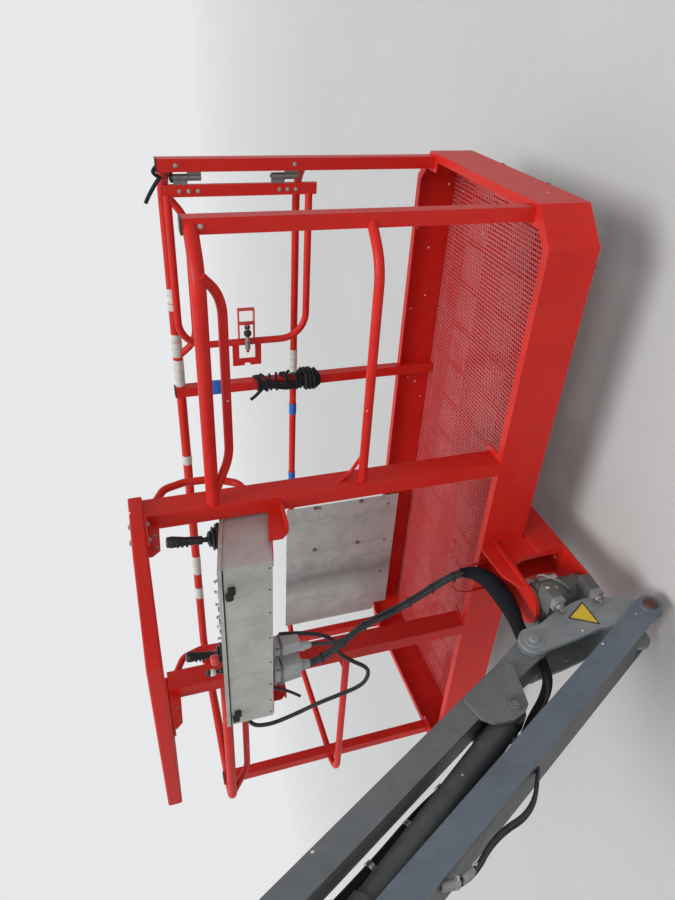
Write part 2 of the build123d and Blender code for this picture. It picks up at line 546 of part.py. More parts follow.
save("gate_catch", bar(post_x + post / 2, post_x + post / 2 + 10, -post_y - 6, -post_y + 28, 848, 900))

# cables: from the console down to the sleeve, a loose loop, and the sleeve over the support
bundle = cord([(-150, 185, gland_low), (-150, 178, 760), (-118, 168, 690), (-72, 150, 620), (-62, 118, 530), (-60, 78, 440), (-50, 46, 374),
               (-35, 24, 318)], 15)
save("cable_bundle", bundle)
loop = cord([(-170, 352, 1060), (-188, 385, 1020), (-196, 384, 950), (-198, 350, 880), (-200, 318, 800), (-200, 300, 720), (-192, 268, 662),
             (-180, 222, 650), (-165, 178, 690), (-140, 140, 745), (-110, 110, 790), (-90, 85, 850), (-85, 70, 930)], 7)
save("cable_loop", loop - console_box)
sleeve = cord([(-35, 24, 318), (-54, 22, 269), (-88, 19, 229), (-134, 14, 202), (-194, 10, 190), (-254, 7, 185), (-314, 5, 188),
               (-370, 3, 198)], 22)
save("cable_sleeve", sleeve - platform_support)

# the same sleeve, thinner, goes on from under the upper pin along the jib to a bulkhead near the foot
hose_r, thin_r = 15.0, 5.5


def beside_jib(up, side, y):
    """A point by its distance from the upper pin up the jib, across it and along y."""
    x, z = step_along(upper_pin, -up, side)
    return (x, y, z)


bulkhead = jib_length - 187
arm_route = [(-490.5, 1.5, 197.15), (-536, 1.5, 210.8), (-582, 14, 251), (-618, 41, 308), (-657, 58, 350), (-692, 63, 406), (-706, 63, 470),
             (-716, 64, 535)]
arm_route += [beside_jib(up, side, 64) for up, side in ((470, -67), (600, -57), (760, -63), (920, -61), (bulkhead - 90, -57), (bulkhead, -57))]
save("arm_sleeve", cord(arm_route, hose_r))
stubs = [rod(beside_jib(bulkhead + 6, -57, y), beside_jib(bulkhead + 30, -57, y), 6) for y in (55, 72)]
save("hose_bulkhead", joined([Pos(0, 62, 0) * along_jib(upper_pin, -bulkhead - 6, -bulkhead, -arm_deep / 2 - 22.5, 44, 45)] + stubs))

# a thin hose from there to the cylinder's port, and a loop of hose under the level arm
port_route = [under_barrel(port_s - 27, port_out, 0), under_barrel(port_s - 66, port_out, 0), (-632, -8, 300), (-604, -17, 262),
              (-568, -20, 237), (-532, -13, 220), (-505, -2, 205)]
save("port_hose", cord(port_route, thin_r))
level_route = [(1135, -37, -48), (1098, -60, -50), (1040, -69, -50), (978, -59, -48), (915, -64, -46), (862, -79, -44), (808, -76, -44),
               (762, -56, -46), (728, -37, -48)]
level_points = [(step_along(lower_pin, -up, side), y) for up, side, y in level_route]
save("level_hose", cord([(x, y, z) for (x, z), y in level_points], thin_r) - level_arm)
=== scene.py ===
import math
import random

import bmesh
import bpy
from mathutils import Matrix, Vector


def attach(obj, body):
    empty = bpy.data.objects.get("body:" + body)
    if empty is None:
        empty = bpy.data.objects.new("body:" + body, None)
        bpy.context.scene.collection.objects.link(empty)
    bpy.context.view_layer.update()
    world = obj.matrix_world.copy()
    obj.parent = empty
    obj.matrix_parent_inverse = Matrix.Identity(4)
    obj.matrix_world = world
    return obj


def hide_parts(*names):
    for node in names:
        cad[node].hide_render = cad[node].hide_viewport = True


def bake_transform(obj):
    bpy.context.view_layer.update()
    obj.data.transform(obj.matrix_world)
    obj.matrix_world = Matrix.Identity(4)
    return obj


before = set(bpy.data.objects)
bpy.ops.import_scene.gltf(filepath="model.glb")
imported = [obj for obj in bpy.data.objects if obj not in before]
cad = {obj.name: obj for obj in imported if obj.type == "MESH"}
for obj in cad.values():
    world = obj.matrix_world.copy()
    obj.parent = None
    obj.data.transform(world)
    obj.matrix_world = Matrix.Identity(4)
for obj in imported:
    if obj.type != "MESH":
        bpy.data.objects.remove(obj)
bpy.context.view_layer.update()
random.seed(4)
print("frame loaded,", len(cad), "nodes")


def at(x, y, z):  # millimetres from the tray's near lower edge, to metres from the boom pin
    return Vector((x + 1290, y, z - 1330)) / 1000


def newObject(name, data):
    piece = bpy.data.objects.new(name, data)
    bpy.context.scene.collection.objects.link(piece)
    return piece


# camera: fitted to the tray; the picture lies on its side, so its right is down
eye = {"spot": (-1547.9, -1664.5, 1278.8), "yaw": 35.575, "pitch": 15.963, "roll": -7.66, "lens": 26.97,
       "sensor": 36, "clip": 200}


def placeCamera():
    yaw, pitch, roll = (math.radians(eye[key]) for key in ("yaw", "pitch", "roll"))
    ahead = Vector((math.cos(yaw) * math.cos(pitch), math.sin(yaw) * math.cos(pitch), -math.sin(pitch)))
    level = ahead.cross(Vector((0, 0, 1))).normalized()
    rise = level.cross(ahead)
    across = math.cos(roll) * level + math.sin(roll) * rise
    top = math.cos(roll) * rise - math.sin(roll) * level
    camera = newObject("camera", bpy.data.cameras.new("camera"))
    camera.data.lens = eye["lens"]
    camera.data.sensor_width = eye["sensor"]
    camera.data.clip_end = eye["clip"]
    turn = Matrix((-top, across, -ahead)).transposed().to_4x4()
    camera.matrix_world = Matrix.Translation(at(*eye["spot"])) @ turn
    bpy.context.scene.camera = camera


placeCamera()
print("camera placed")


# node helpers: each finds its tree by the sockets that it joins
def setInputs(node, inputs):
    for key, value in inputs.items():
        if isinstance(value, bpy.types.NodeSocket):
            node.id_data.links.new(value, node.inputs[key])
        else:
            node.inputs[key].default_value = value


def addNode(tree, kind, inputs=None, **settings):
    node = tree.nodes.new(kind)
    for key, value in settings.items():
        setattr(node, key, value)
    setInputs(node, inputs or {})
    return node


def joinNode(kind, inputs, **settings):
    tree = next(value.id_data for value in inputs.values() if isinstance(value, bpy.types.NodeSocket))
    return addNode(tree, kind, inputs, **settings).outputs


def sums(kind, one, two=0.0, clamp=False):
    return joinNode("ShaderNodeMath", {0: one, 1: two}, operation=kind, use_clamp=clamp)[0]


def times(one, two, clamp=False):
    return sums("MULTIPLY", one, two, clamp)


def plus(one, two, clamp=False):
    return sums("ADD", one, two, clamp)


def weigh(one, much, two, less):
    return plus(times(one, much), times(two, less))


def spread(value, low, high, start=0.0, end=1.0):
    inputs = {"Value": value, "From Min": low, "From Max": high, "To Min": start, "To Max": end}
    return joinNode("ShaderNodeMapRange", inputs)[0]


def vectors(kind, one, two, out="Vector"):
    return joinNode("ShaderNodeVectorMath", {0: one, 1: two}, operation=kind)[out]


def coords(tree, kind):
    return tree.nodes.new("ShaderNodeTexCoord").outputs[kind]


def along(vector, axis):
    return joinNode("ShaderNodeSeparateXYZ", {0: vector})[axis]


def noise(place, scale, detail, out="Fac", **more):
    return joinNode("ShaderNodeTexNoise", {"Vector": place, "Scale": scale, "Detail": detail, **more})[out]


def blendColour(share, low, high):
    low, high = (tone if isinstance(tone, bpy.types.NodeSocket) else (*tone, 1) for tone in (low, high))
    return joinNode("ShaderNodeMix", {0: share, 6: low, 7: high}, data_type="RGBA")[2]


def overlay(colour, *coats):
    for share, tone in coats:
        colour = blendColour(share, colour, tone)
    return colour


def bump(height, strength, distance):
    return joinNode("ShaderNodeBump", {"Height": height, "Strength": strength, "Distance": distance})[0]


# effects that the materials share, each a node group with one mask
def startGroup(name, **numbers):
    tree = bpy.data.node_groups.new(name, "ShaderNodeTree")
    tree.interface.new_socket("Vector", in_out="INPUT", socket_type="NodeSocketVector")
    for label, value in numbers.items():
        tree.interface.new_socket(label, in_out="INPUT", socket_type="NodeSocketFloat").default_value = value
    tree.interface.new_socket("Mask", in_out="OUTPUT", socket_type="NodeSocketFloat")
    return tree.nodes.new("NodeGroupInput").outputs


def endGroup(mask):
    addNode(mask.id_data, "NodeGroupOutput", {"Mask": mask})


def layer(name, place, **inputs):
    group = bpy.data.node_groups[name]
    return joinNode("ShaderNodeGroup", {"Vector": place, **inputs}, node_tree=group)["Mask"]


def buildEdgeWearAndHighlight():  # where a corner is worn, broken up by noise; the same mask also paints a highlight on edges
    given = startGroup("edgeWearAndHighlight", Reach=0.002, Breakup=60.0, Amount=1.0)
    soft = joinNode("ShaderNodeBevel", {"Radius": given["Reach"]}, samples=6)["Normal"]
    flat = soft.id_data.nodes.new("ShaderNodeNewGeometry").outputs["True Normal"]
    corner = spread(vectors("DOT_PRODUCT", soft, flat, "Value"), 0.995, 0.80)
    rough = spread(noise(given["Vector"], given["Breakup"], 6.0, Roughness=0.65), 0.42, 0.66)
    endGroup(times(times(corner, rough), given["Amount"], True))


def buildMottle():  # slow drift of the colour
    given = startGroup("mottle", Scale=4.0)
    broad = noise(given["Vector"], given["Scale"], 5.0, Roughness=0.6, Distortion=0.4)
    fine = noise(given["Vector"], times(given["Scale"], 9.0), 4.0)
    endGroup(spread(weigh(broad, 0.72, fine, 0.28), 0.36, 0.66))


def buildDust():  # dirt that gathers on faces that look up
    given = startGroup("dust", Scale=8.0, Amount=0.5, Lying=0.5)
    broad = noise(given["Vector"], given["Scale"], 7.0, Roughness=0.62, Distortion=0.6)
    grit = noise(given["Vector"], times(given["Scale"], 22.0), 3.0)
    patch = spread(weigh(broad, 0.8, grit, 0.2), 0.47, 0.68)
    facing = along(coords(broad.id_data, "Normal"), "Z")
    share = plus(times(spread(facing, 0.2, 0.95), given["Lying"]), sums("SUBTRACT", 1.0, given["Lying"]))
    endGroup(times(times(patch, share), given["Amount"], True))


def buildFlecks():  # small specks of another colour
    given = startGroup("flecks", Scale=30.0, Size=0.1, Share=0.2)
    bent = noise(given["Vector"], times(given["Scale"], 3.0), 2.0, "Color")
    spot = vectors("ADD", given["Vector"], vectors("MULTIPLY", bent, (0.012, 0.012, 0.012)))
    cells = joinNode("ShaderNodeTexVoronoi", {"Vector": spot, "Scale": given["Scale"]})
    near = sums("LESS_THAN", cells["Distance"], given["Size"])
    endGroup(times(near, sums("LESS_THAN", along(cells["Color"], "X"), given["Share"])))


def buildStreaks():  # runs that the rain leaves down a wall
    given = startGroup("streaks", Scale=20.0, Amount=0.5)
    drawn = vectors("MULTIPLY", given["Vector"], (1.0, 1.0, 0.07))
    runs = spread(noise(drawn, given["Scale"], 6.0, Roughness=0.7), 0.5, 0.74)
    endGroup(times(runs, given["Amount"], True))


for build in (buildEdgeWearAndHighlight, buildMottle, buildDust, buildFlecks, buildStreaks):
    build()


def startMaterial(name):
    material = bpy.data.materials.new(name)
    material.use_nodes = True
    tree = material.node_tree
    tree.nodes.clear()
    shader = tree.nodes.new("ShaderNodeBsdfPrincipled")
    addNode(tree, "ShaderNodeOutputMaterial", {"Surface": shader.outputs[0]})
    return material, shader, coords(tree, "Object")


# paints: tones are the fresh coat, the faded coat, worn corners that are also a painted edge highlight, dirt,
# which also colours the painted shade below, and flecks
plainPaint = {"coat": 0.0, "lying": 0.4, "wear": 0.4, "shine": 0.35, "under": 0.0, "paintedSideShade": 0.0}
paints = {
    "redPaint": {
        "tones": ((0.54, 0.010, 0.006), (0.62, 0.020, 0.013), (0.78, 0.17, 0.13), (0.17, 0.07, 0.055),
                  (0.75, 0.70, 0.66)),
        "gloss": 0.38, "coat": 0.04, "dust": 0.30, "lying": 0.7, "streaks": 0.10, "flecks": 0.05,
        "wear": 0.35, "peel": 0.10, "shine": 0.22
    },
    # the floor mesh's red, lighter than the tray's for a painted highlight on the strand tops, with painted
    # shade on their sides
    "litAndShadedMeshPaint": {
        "tones": ((0.80, 0.050, 0.050), (0.88, 0.130, 0.130), (0.80, 0.32, 0.28), (0.30, 0.12, 0.11),
                  (0.80, 0.74, 0.70)),
        "gloss": 0.26, "coat": 0.30, "dust": 0.30, "lying": 0.2, "streaks": 0.0, "flecks": 0.10,
        "wear": 0.0, "peel": 0.0, "paintedSideShade": 0.9
    },
    # a darker red for the bearers under the floor mesh: partly dirt, partly painted shade
    "underPaint": {
        "tones": ((0.26, 0.007, 0.006), (0.34, 0.012, 0.010), (0.5, 0.10, 0.08), (0.07, 0.035, 0.03),
                  (0.6, 0.55, 0.5)),
        "gloss": 0.42, "dust": 0.7, "lying": 0.6, "streaks": 0.1, "flecks": 0.04, "wear": 0.2, "peel": 0.2
    },
    "armGrey": {
        "tones": ((0.128, 0.140, 0.148), (0.178, 0.190, 0.196), (0.34, 0.35, 0.35), (0.07, 0.07, 0.065),
                  (0.80, 0.78, 0.74)),
        "gloss": 0.50, "coat": 0.05, "dust": 0.35, "streaks": 0.30, "flecks": 0.14, "wear": 0.5,
        "peel": 0.16, "under": 0.6
    },
    "barrelGrey": {
        "tones": ((0.056, 0.060, 0.063), (0.090, 0.094, 0.097), (0.22, 0.22, 0.22), (0.035, 0.033, 0.03),
                  (0.70, 0.68, 0.65)),
        "gloss": 0.50, "coat": 0.05, "dust": 0.35, "streaks": 0.2, "flecks": 0.10, "peel": 0.2,
        "under": 0.4
    },
    "levelGrey": {
        "tones": ((0.105, 0.135, 0.170), (0.150, 0.180, 0.215), (0.36, 0.38, 0.40), (0.07, 0.065, 0.06),
                  (0.84, 0.83, 0.80)),
        "gloss": 0.46, "coat": 0.06, "dust": 0.30, "streaks": 0.25, "flecks": 0.24, "wear": 0.5,
        "peel": 0.14, "under": 0.85
    },
    "knuckleGrey": {
        "tones": ((0.200, 0.218, 0.230), (0.265, 0.282, 0.290), (0.40, 0.41, 0.41), (0.06, 0.055, 0.05),
                  (0.84, 0.83, 0.80)),
        "gloss": 0.45, "coat": 0.06, "dust": 0.45, "streaks": 0.35, "flecks": 0.22, "wear": 0.6,
        "peel": 0.22
    },
    "housingGrey": {
        "tones": ((0.095, 0.100, 0.096), (0.145, 0.150, 0.144), (0.36, 0.36, 0.33), (0.05, 0.045, 0.04),
                  (0.78, 0.76, 0.72)),
        "gloss": 0.50, "dust": 0.6, "lying": 0.3, "streaks": 0.4, "flecks": 0.05, "peel": 0.30
    },
    "plugGrey": {
        "tones": ((0.38, 0.395, 0.40), (0.47, 0.485, 0.49), (0.66, 0.66, 0.65), (0.14, 0.13, 0.12),
                  (0.8, 0.8, 0.78)),
        "gloss": 0.42, "dust": 0.4, "lying": 0.3, "streaks": 0.35, "flecks": 0.02, "peel": 0.30
    },
}


def paintFinish(name):
    look = {**plainPaint, **paints[name]}
    fresh, faded, rubbedAndLitEdge, dirtAndShadeTone, fleck = look["tones"]
    material, shader, place = startMaterial(name)
    drift = layer("mottle", place, Scale=3.5)
    worn = layer("edgeWearAndHighlight", place, Reach=0.0022, Breakup=45.0, Amount=look["wear"])
    dust = layer("dust", place, Scale=9.0, Amount=look["dust"], Lying=look["lying"])
    runs = layer("streaks", place, Scale=26.0, Amount=look["streaks"])
    spots = layer("flecks", place, Scale=26.0, Size=0.10, Share=look["flecks"])
    colour = blendColour(drift, fresh, faded)
    # worn corners, lighter: partly worn paint, partly a painted highlight where edges catch the light
    colour = overlay(colour, (runs, dirtAndShadeTone), (worn, rubbedAndLitEdge), (dust, dirtAndShadeTone), (spots, fleck))
    facing = along(coords(shader.id_data, "Normal"), "Z")
    if look["under"]:  # painted shade: faces that look down are darkened towards the dirt tone
        low = spread(facing, -0.15, -0.42, 0.0, look["under"])
        colour = blendColour(low, colour, [tone * 0.45 for tone in dirtAndShadeTone])
    if look["paintedSideShade"]:  # painted shade: the steep sides of the strands are darker than their tops
        shadedSide = spread(facing, 0.85, 0.55, 0.0, look["paintedSideShade"])
        colour = blendColour(shadedSide, colour, (0.12, 0.004, 0.004))
    gloss = plus(weigh(dust, 0.35, drift, 0.10), look["gloss"], True)
    relief = weigh(noise(place, 260.0, 3.0), 0.25, noise(place, 14.0, 3.0), 1.4)
    relief = sums("SUBTRACT", relief, times(worn, 0.5))
    setInputs(shader, {"Base Color": colour, "Roughness": gloss, "Normal": bump(relief, look["peel"], 0.002),
                       "Coat Weight": look["coat"], "Coat Roughness": 0.12,
                       "Specular IOR Level": look["shine"]})
    return material


# bare aluminium, dulled and stained
def sheetFinish(name, base, dark, stain, metal, gloss, rustSide=None, smear=None):
    material, shader, place = startMaterial(name)
    drift = layer("mottle", place, Scale=5.0)
    runs = layer("streaks", place, Scale=16.0, Amount=stain)
    dust = layer("dust", place, Scale=11.0, Amount=0.5, Lying=0.5)
    worn = layer("edgeWearAndHighlight", place, Reach=0.002, Breakup=40.0, Amount=0.6)
    spots = layer("flecks", place, Scale=60.0, Size=0.12, Share=0.05)
    scuffs = layer("flecks", place, Scale=17.0, Size=0.11, Share=0.10)
    lines = noise(vectors("MULTIPLY", place, (1.0, 0.03, 1.0)), 420.0, 4.0)
    colour = overlay(blendColour(drift, base, dark), (times(lines, 0.25), [tone * 1.3 for tone in base]),
                     (runs, [tone * 0.55 for tone in base]), (dust, (0.16, 0.15, 0.13)),
                     (worn, (0.72, 0.72, 0.70)), (spots, (0.04, 0.035, 0.03)),
                     (times(scuffs, 0.6), (0.09, 0.085, 0.08)))
    y = along(place, "Y")
    if rustSide:
        warm = times(spread(y, rustSide, rustSide - 0.0012), spread(drift, 0.0, 1.0, 0.25, 0.75))
        rust = spread(noise(place, 30.0, 5.0), 0.50, 0.62)
        edge = times(rust, spread(y, rustSide + 0.03, rustSide))
        colour = overlay(colour, (warm, (0.46, 0.39, 0.39)), (times(edge, 0.14), (0.24, 0.12, 0.09)))
    if smear:
        away = sums("ABSOLUTE", plus(sums("SUBTRACT", y, smear), times(drift, 0.05)))
        colour = blendColour(spread(away, 0.11, 0.0, 0.0, 0.6), colour, (0.13, 0.13, 0.125))
    relief = weigh(lines, 0.12, drift, 0.8)
    setInputs(shader, {"Base Color": colour, "Roughness": plus(times(drift, 0.16), gloss), "Metallic": metal,
                       "Normal": bump(relief, 0.12, 0.002)})
    return material


def metalFinish(name, base, tarnish, metal, gloss, soil):  # plated fittings with rust in the corners
    material, shader, place = startMaterial(name)
    drift = layer("mottle", place, Scale=30.0)
    dust = layer("dust", place, Scale=45.0, Amount=soil, Lying=0.1)
    colour = blendColour(drift, base, [tone * 0.72 for tone in base])
    setInputs(shader, {"Base Color": blendColour(dust, colour, tarnish),
                       "Roughness": plus(times(dust, 0.4), gloss, True),
                       "Metallic": times(sums("SUBTRACT", 1.0, dust), metal),
                       "Normal": bump(drift, 0.2, 0.001)})
    return material


def rubberFinish(name, base, worn, gloss, grain):  # rubber, hose, moulded plastic and tape, by grain
    material, shader, place = startMaterial(name)
    drift = layer("mottle", place, Scale=18.0)
    dust = layer("dust", place, Scale=30.0, Amount=0.45, Lying=0.5)
    edge = layer("edgeWearAndHighlight", place, Reach=0.0012, Breakup=90.0, Amount=0.5)
    colour = overlay(blendColour(drift, base, worn), (dust, [tone * 1.8 + 0.01 for tone in worn]),
                     (edge, [tone * 2.5 + 0.02 for tone in worn]))
    setInputs(shader, {"Base Color": colour, "Roughness": plus(times(drift, 0.14), gloss),
                       "Specular IOR Level": 0.22 if base[0] < 0.05 else 0.5,
                       "Normal": bump(noise(place, grain, 3.0), 0.25, 0.0008)})
    return material


def clothFinish(name, base, worn):  # a black cloth hose cover, creased across
    material, shader, place = startMaterial(name)
    drift = layer("mottle", place, Scale=14.0)
    dust = layer("dust", place, Scale=24.0, Amount=0.15, Lying=0.7)
    folds = noise(place, 34.0, 4.0, Distortion=1.6)
    relief = plus(folds, times(noise(place, 900.0, 2.0), 0.06))
    setInputs(shader, {"Base Color": overlay(blendColour(drift, base, worn), (dust, (0.03, 0.03, 0.03))),
                       "Roughness": plus(times(drift, 0.2), 0.55), "Specular IOR Level": 0.12,
                       "Normal": bump(relief, 0.9, 0.014)})
    return material


metals = {  # base, tarnish, metallic, roughness, soil
    "zinc": ((0.60, 0.59, 0.55), (0.22, 0.15, 0.10), 0.85, 0.32, 0.55),
    "darkSteel": ((0.20, 0.20, 0.195), (0.10, 0.07, 0.05), 0.6, 0.42, 0.6),
    "steel": ((0.42, 0.41, 0.39), (0.16, 0.11, 0.08), 0.8, 0.38, 0.6),
    "rustySteel": ((0.12, 0.055, 0.040), (0.055, 0.028, 0.020), 0.4, 0.50, 0.9),
    "chrome": ((0.70, 0.70, 0.70), (0.30, 0.28, 0.25), 1.0, 0.14, 0.2),
}
rubbers = {  # base, worn, roughness, grain
    "hoseBlack": ((0.020, 0.021, 0.023), (0.045, 0.047, 0.050), 0.40, 300.0),
    "cableGrey": ((0.026, 0.028, 0.031), (0.056, 0.060, 0.064), 0.42, 300.0),
    "hoseLight": ((0.24, 0.24, 0.21), (0.17, 0.17, 0.15), 0.45, 260.0),
    "greyWrap": ((0.30, 0.30, 0.29), (0.20, 0.20, 0.19), 0.5, 300.0),
    "sleeveCloth": ((0.006, 0.007, 0.010), (0.014, 0.016, 0.020), 0.62, 700.0),
    "footRubber": ((0.018, 0.017, 0.016), (0.035, 0.033, 0.030), 0.65, 200.0),
    "blackPlastic": ((0.014, 0.014, 0.015), (0.030, 0.030, 0.031), 0.35, 500.0),
    "whitePlastic": ((0.70, 0.70, 0.66), (0.60, 0.60, 0.55), 0.32, 400.0),
    "redPlastic": ((0.50, 0.03, 0.025), (0.58, 0.07, 0.06), 0.30, 400.0),
    "blueTape": ((0.015, 0.10, 0.42), (0.03, 0.15, 0.50), 0.50, 600.0),
    "whiteTape": ((0.62, 0.61, 0.57), (0.48, 0.46, 0.42), 0.55, 350.0),
    "yellowPlate": ((0.72, 0.52, 0.02), (0.62, 0.44, 0.03), 0.38, 300.0),
}
finish = {name: paintFinish(name) for name in paints}
finish.update({name: metalFinish(name, *look) for name, look in metals.items()})
finish.update({name: rubberFinish(name, *look) for name, look in rubbers.items()})
finish["wrinkledCloth"] = clothFinish("wrinkledCloth", (0.004, 0.005, 0.008), (0.012, 0.014, 0.019))
finish["consoleSheet"] = sheetFinish("consoleSheet", (0.50, 0.50, 0.465), (0.38, 0.38, 0.35), 0.45, 0.35,
                                     0.40, -0.3528)
finish["panelSheet"] = sheetFinish("panelSheet", (0.50, 0.54, 0.52), (0.38, 0.41, 0.40), 0.5, 0.30, 0.42,
                                   smear=0.86)
print("finishes made,", len(finish))

# which finish each CAD node wears
coats = {
    "redPaint": ["toe_boards", "corner_boards", "tray_lip", "post_plates", "rail_posts", "console_posts",
                 "top_rails", "mid_rails", "hand_rails", "rail_braces", "operator_guards", "top_guard",
                 "guard_brackets", "console_brackets", "platform_support", "cable_hoop", "gate_frame",
                 "gate_latch", "gate_catch"],
    "underPaint": ["floor_flange", "long_bearers", "cross_bearers"],
    "armGrey": ["cylinder_pin", "jib_arm", "cylinder_bracket", "jib_foot", "foot_hubs", "hose_bulkhead"],
    "levelGrey": ["level_arm"],
    "knuckleGrey": ["knuckle", "knuckle_pins"],
    "housingGrey": ["rotator_housing", "rotator_shaft"],
    "barrelGrey": ["cylinder_barrel"],
    "plugGrey": ["console_plugs"],
    "consoleSheet": ["console_box", "console_lid"],
    "panelSheet": ["far_panel", "panel_spacers"],
    "darkSteel": ["gate_hinges", "gate_hinge_post_side"],
    "zinc": ["rotator_nuts", "box_hinges", "lid_hinges", "foot_pins"],
    "steel": ["rod_eye_pin_ends"],
    "chrome": ["cylinder_rod"],
    "footRubber": ["rubber_feet", "lid_latches"],
    "blackPlastic": ["joysticks", "switches"],
}
for name, members in coats.items():
    for node in members:
        cad[node].data.materials.clear()
        cad[node].data.materials.append(finish[name])
missing = sorted(set(cad) - {node for members in coats.values() for node in members})
print("nodes with no finish yet:", missing)


def buildSoftEdges():  # welds a CAD node's loose triangles and shades it smooth up to an angle
    tree = bpy.data.node_groups.new("softEdges", "GeometryNodeTree")
    for way in ("INPUT", "OUTPUT"):
        tree.interface.new_socket("Geometry", in_out=way, socket_type="NodeSocketGeometry")
    start = tree.nodes.new("NodeGroupInput").outputs[0]
    weld = joinNode("GeometryNodeMergeByDistance", {"Geometry": start, "Distance": 0.00002})[0]
    smooth = joinNode("GeometryNodeSetShadeSmooth", {"Geometry": weld, "Shade Smooth": True})[0]
    angle = tree.nodes.new("GeometryNodeInputMeshEdgeAngle").outputs["Unsigned Angle"]
    sharp = joinNode("FunctionNodeCompare", {0: angle, 1: math.radians(32)}, operation="GREATER_THAN")[0]
    inputs = {"Geometry": smooth, "Selection": sharp, "Shade Smooth": False}
    hard = joinNode("GeometryNodeSetShadeSmooth", inputs, domain="EDGE")[0]
    addNode(tree, "NodeGroupOutput", {0: hard})
    return tree


softEdges = buildSoftEdges()
for node in cad.values():
    node.modifiers.new("softEdges", "NODES").node_group = softEdges
print("CAD nodes finished")

up, outward = (0, 0, 1), (-1, 0, 0)  # upward, and towards the jib


# mesh helpers
def bevel(bm, edges, offset):
    bmesh.ops.bevel(bm, geom=list(edges), offset=offset / 1000, offset_type="OFFSET", segments=2, profile=0.5,
                    affect="EDGES", clamp_overlap=True, material=-1)


def fitBox(bm, verts, low, high, soft):
    low, high = at(*low), at(*high)
    bmesh.ops.scale(bm, vec=high - low, verts=verts)
    bmesh.ops.translate(bm, vec=(low + high) / 2, verts=verts)
    bevel(bm, {edge for vert in verts for edge in vert.link_edges}, soft)


def addBox(bm, low, high, soft):
    fitBox(bm, bmesh.ops.create_cube(bm, size=1)["verts"], low, high, soft)


def addTaper(bm, low, high, shrink, soft):  # a box that is narrower at its lower end
    verts = bmesh.ops.create_cube(bm, size=1)["verts"]
    foot = [vert for vert in verts if vert.co.z < 0]
    wide = Vector(high) - Vector(low)
    bmesh.ops.scale(bm, vec=(1 - 2 * shrink / wide.x, 1 - 2 * shrink / wide.y, 1), verts=foot)
    fitBox(bm, verts, low, high, soft)


# from the origin to a place on the machine, facing along a direction
def setDown(bm, verts, centre, direction):
    turn = Vector(direction).to_track_quat("Z", "Y").to_matrix().to_4x4()
    bmesh.ops.transform(bm, matrix=Matrix.Translation(at(*centre)) @ turn, verts=verts)


def addRound(bm, centre, direction, radius, depth, segments=24, soft=0.0, tip=None):
    end = radius if tip is None else tip
    verts = bmesh.ops.create_cone(bm, cap_ends=True, segments=segments, radius1=radius / 1000,
                                  radius2=end / 1000, depth=depth / 1000)["verts"]
    setDown(bm, verts, centre, direction)
    if soft:
        caps = {face for vert in verts for face in vert.link_faces if len(face.verts) == segments}
        bevel(bm, {edge for face in caps for edge in face.edges}, soft)


def addBolt(bm, spot, direction, size, tall=1.0):
    out = Vector(direction).normalized()
    foot = Vector(spot)
    addRound(bm, foot + out * size * 0.12, out, size * 1.55, size * 0.25, 20, 0.3)
    addRound(bm, foot + out * size * (0.25 + 0.38 * tall), out, size, size * 0.75 * tall, 6, 0.6)


def addStud(bm, spot, direction, size, length, pitch=1.6):
    out = Vector(direction).normalized()
    addBolt(bm, spot, out, size)
    for step in range(int(length / pitch)):
        place = Vector(spot) + out * (size + step * pitch + pitch / 2)
        addRound(bm, place, out, size * 0.62, 0.9, 12, 0, size * 0.52)
        addRound(bm, place + out * 0.85, out, size * 0.52, 0.8, 12, 0, size * 0.62)


def lathe(bm, profile, centre, direction, steps=32):  # (radius, height) points spun about an axis
    spun = bmesh.new()
    verts = [spun.verts.new((radius / 1000, 0, height / 1000)) for radius, height in profile]
    edges = [spun.edges.new(pair) for pair in zip(verts, verts[1:])]
    bmesh.ops.spin(spun, geom=verts + edges, cent=(0, 0, 0), axis=up, angle=2 * math.pi, steps=steps,
                   use_merge=True)
    setDown(spun, spun.verts, centre, direction)
    mesh = bpy.data.meshes.new("spun")
    spun.to_mesh(mesh)
    spun.free()
    bm.from_mesh(mesh)


def addBall(bm, centre, radius):
    verts = bmesh.ops.create_uvsphere(bm, u_segments=24, v_segments=14, radius=radius / 1000)["verts"]
    bmesh.ops.translate(bm, vec=at(*centre), verts=verts)


def routeCurve(name, points, radius, swell=None):
    data = bpy.data.curves.new(name, "CURVE")
    data.dimensions = "3D"
    data.bevel_depth = radius / 1000
    data.bevel_resolution = 5
    data.resolution_u = 10
    data.use_fill_caps = True
    spline = data.splines.new("NURBS")
    spline.points.add(len(points) - 1)
    for index, (point, place) in enumerate(zip(spline.points, points)):
        point.co = (*at(*place), 1)
        if swell:
            point.radius = swell[index]
    spline.order_u = 3
    spline.use_endpoint_u = True
    return newObject(name, data)


def curveMesh(curve):
    bpy.context.view_layer.update()
    mesh = bpy.data.meshes.new_from_object(curve)
    bpy.data.objects.remove(curve)
    return mesh


def followRoute(points):  # the spline's own line, as points
    return [vert.co.copy() for vert in curveMesh(routeCurve("line", points, 0)).vertices]


def addTube(bm, points, radius, rounds=3):
    curve = routeCurve("tube", points, radius)
    curve.data.bevel_resolution = rounds
    curve.data.resolution_u = 6
    bm.from_mesh(curveMesh(curve))


def makePiece(name, bm, look, body, node=None, sharp=32):
    bmesh.ops.remove_doubles(bm, verts=bm.verts, dist=0.00001)
    bmesh.ops.recalc_face_normals(bm, faces=bm.faces)
    mesh = bpy.data.meshes.new(name)
    bm.to_mesh(mesh)
    bm.free()
    mesh.shade_smooth()
    mesh.set_sharp_from_angle(angle=math.radians(sharp))
    mesh.materials.append(finish[look])
    piece = newObject(name, mesh)
    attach(piece, body)
    if node:
        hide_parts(node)
    return piece


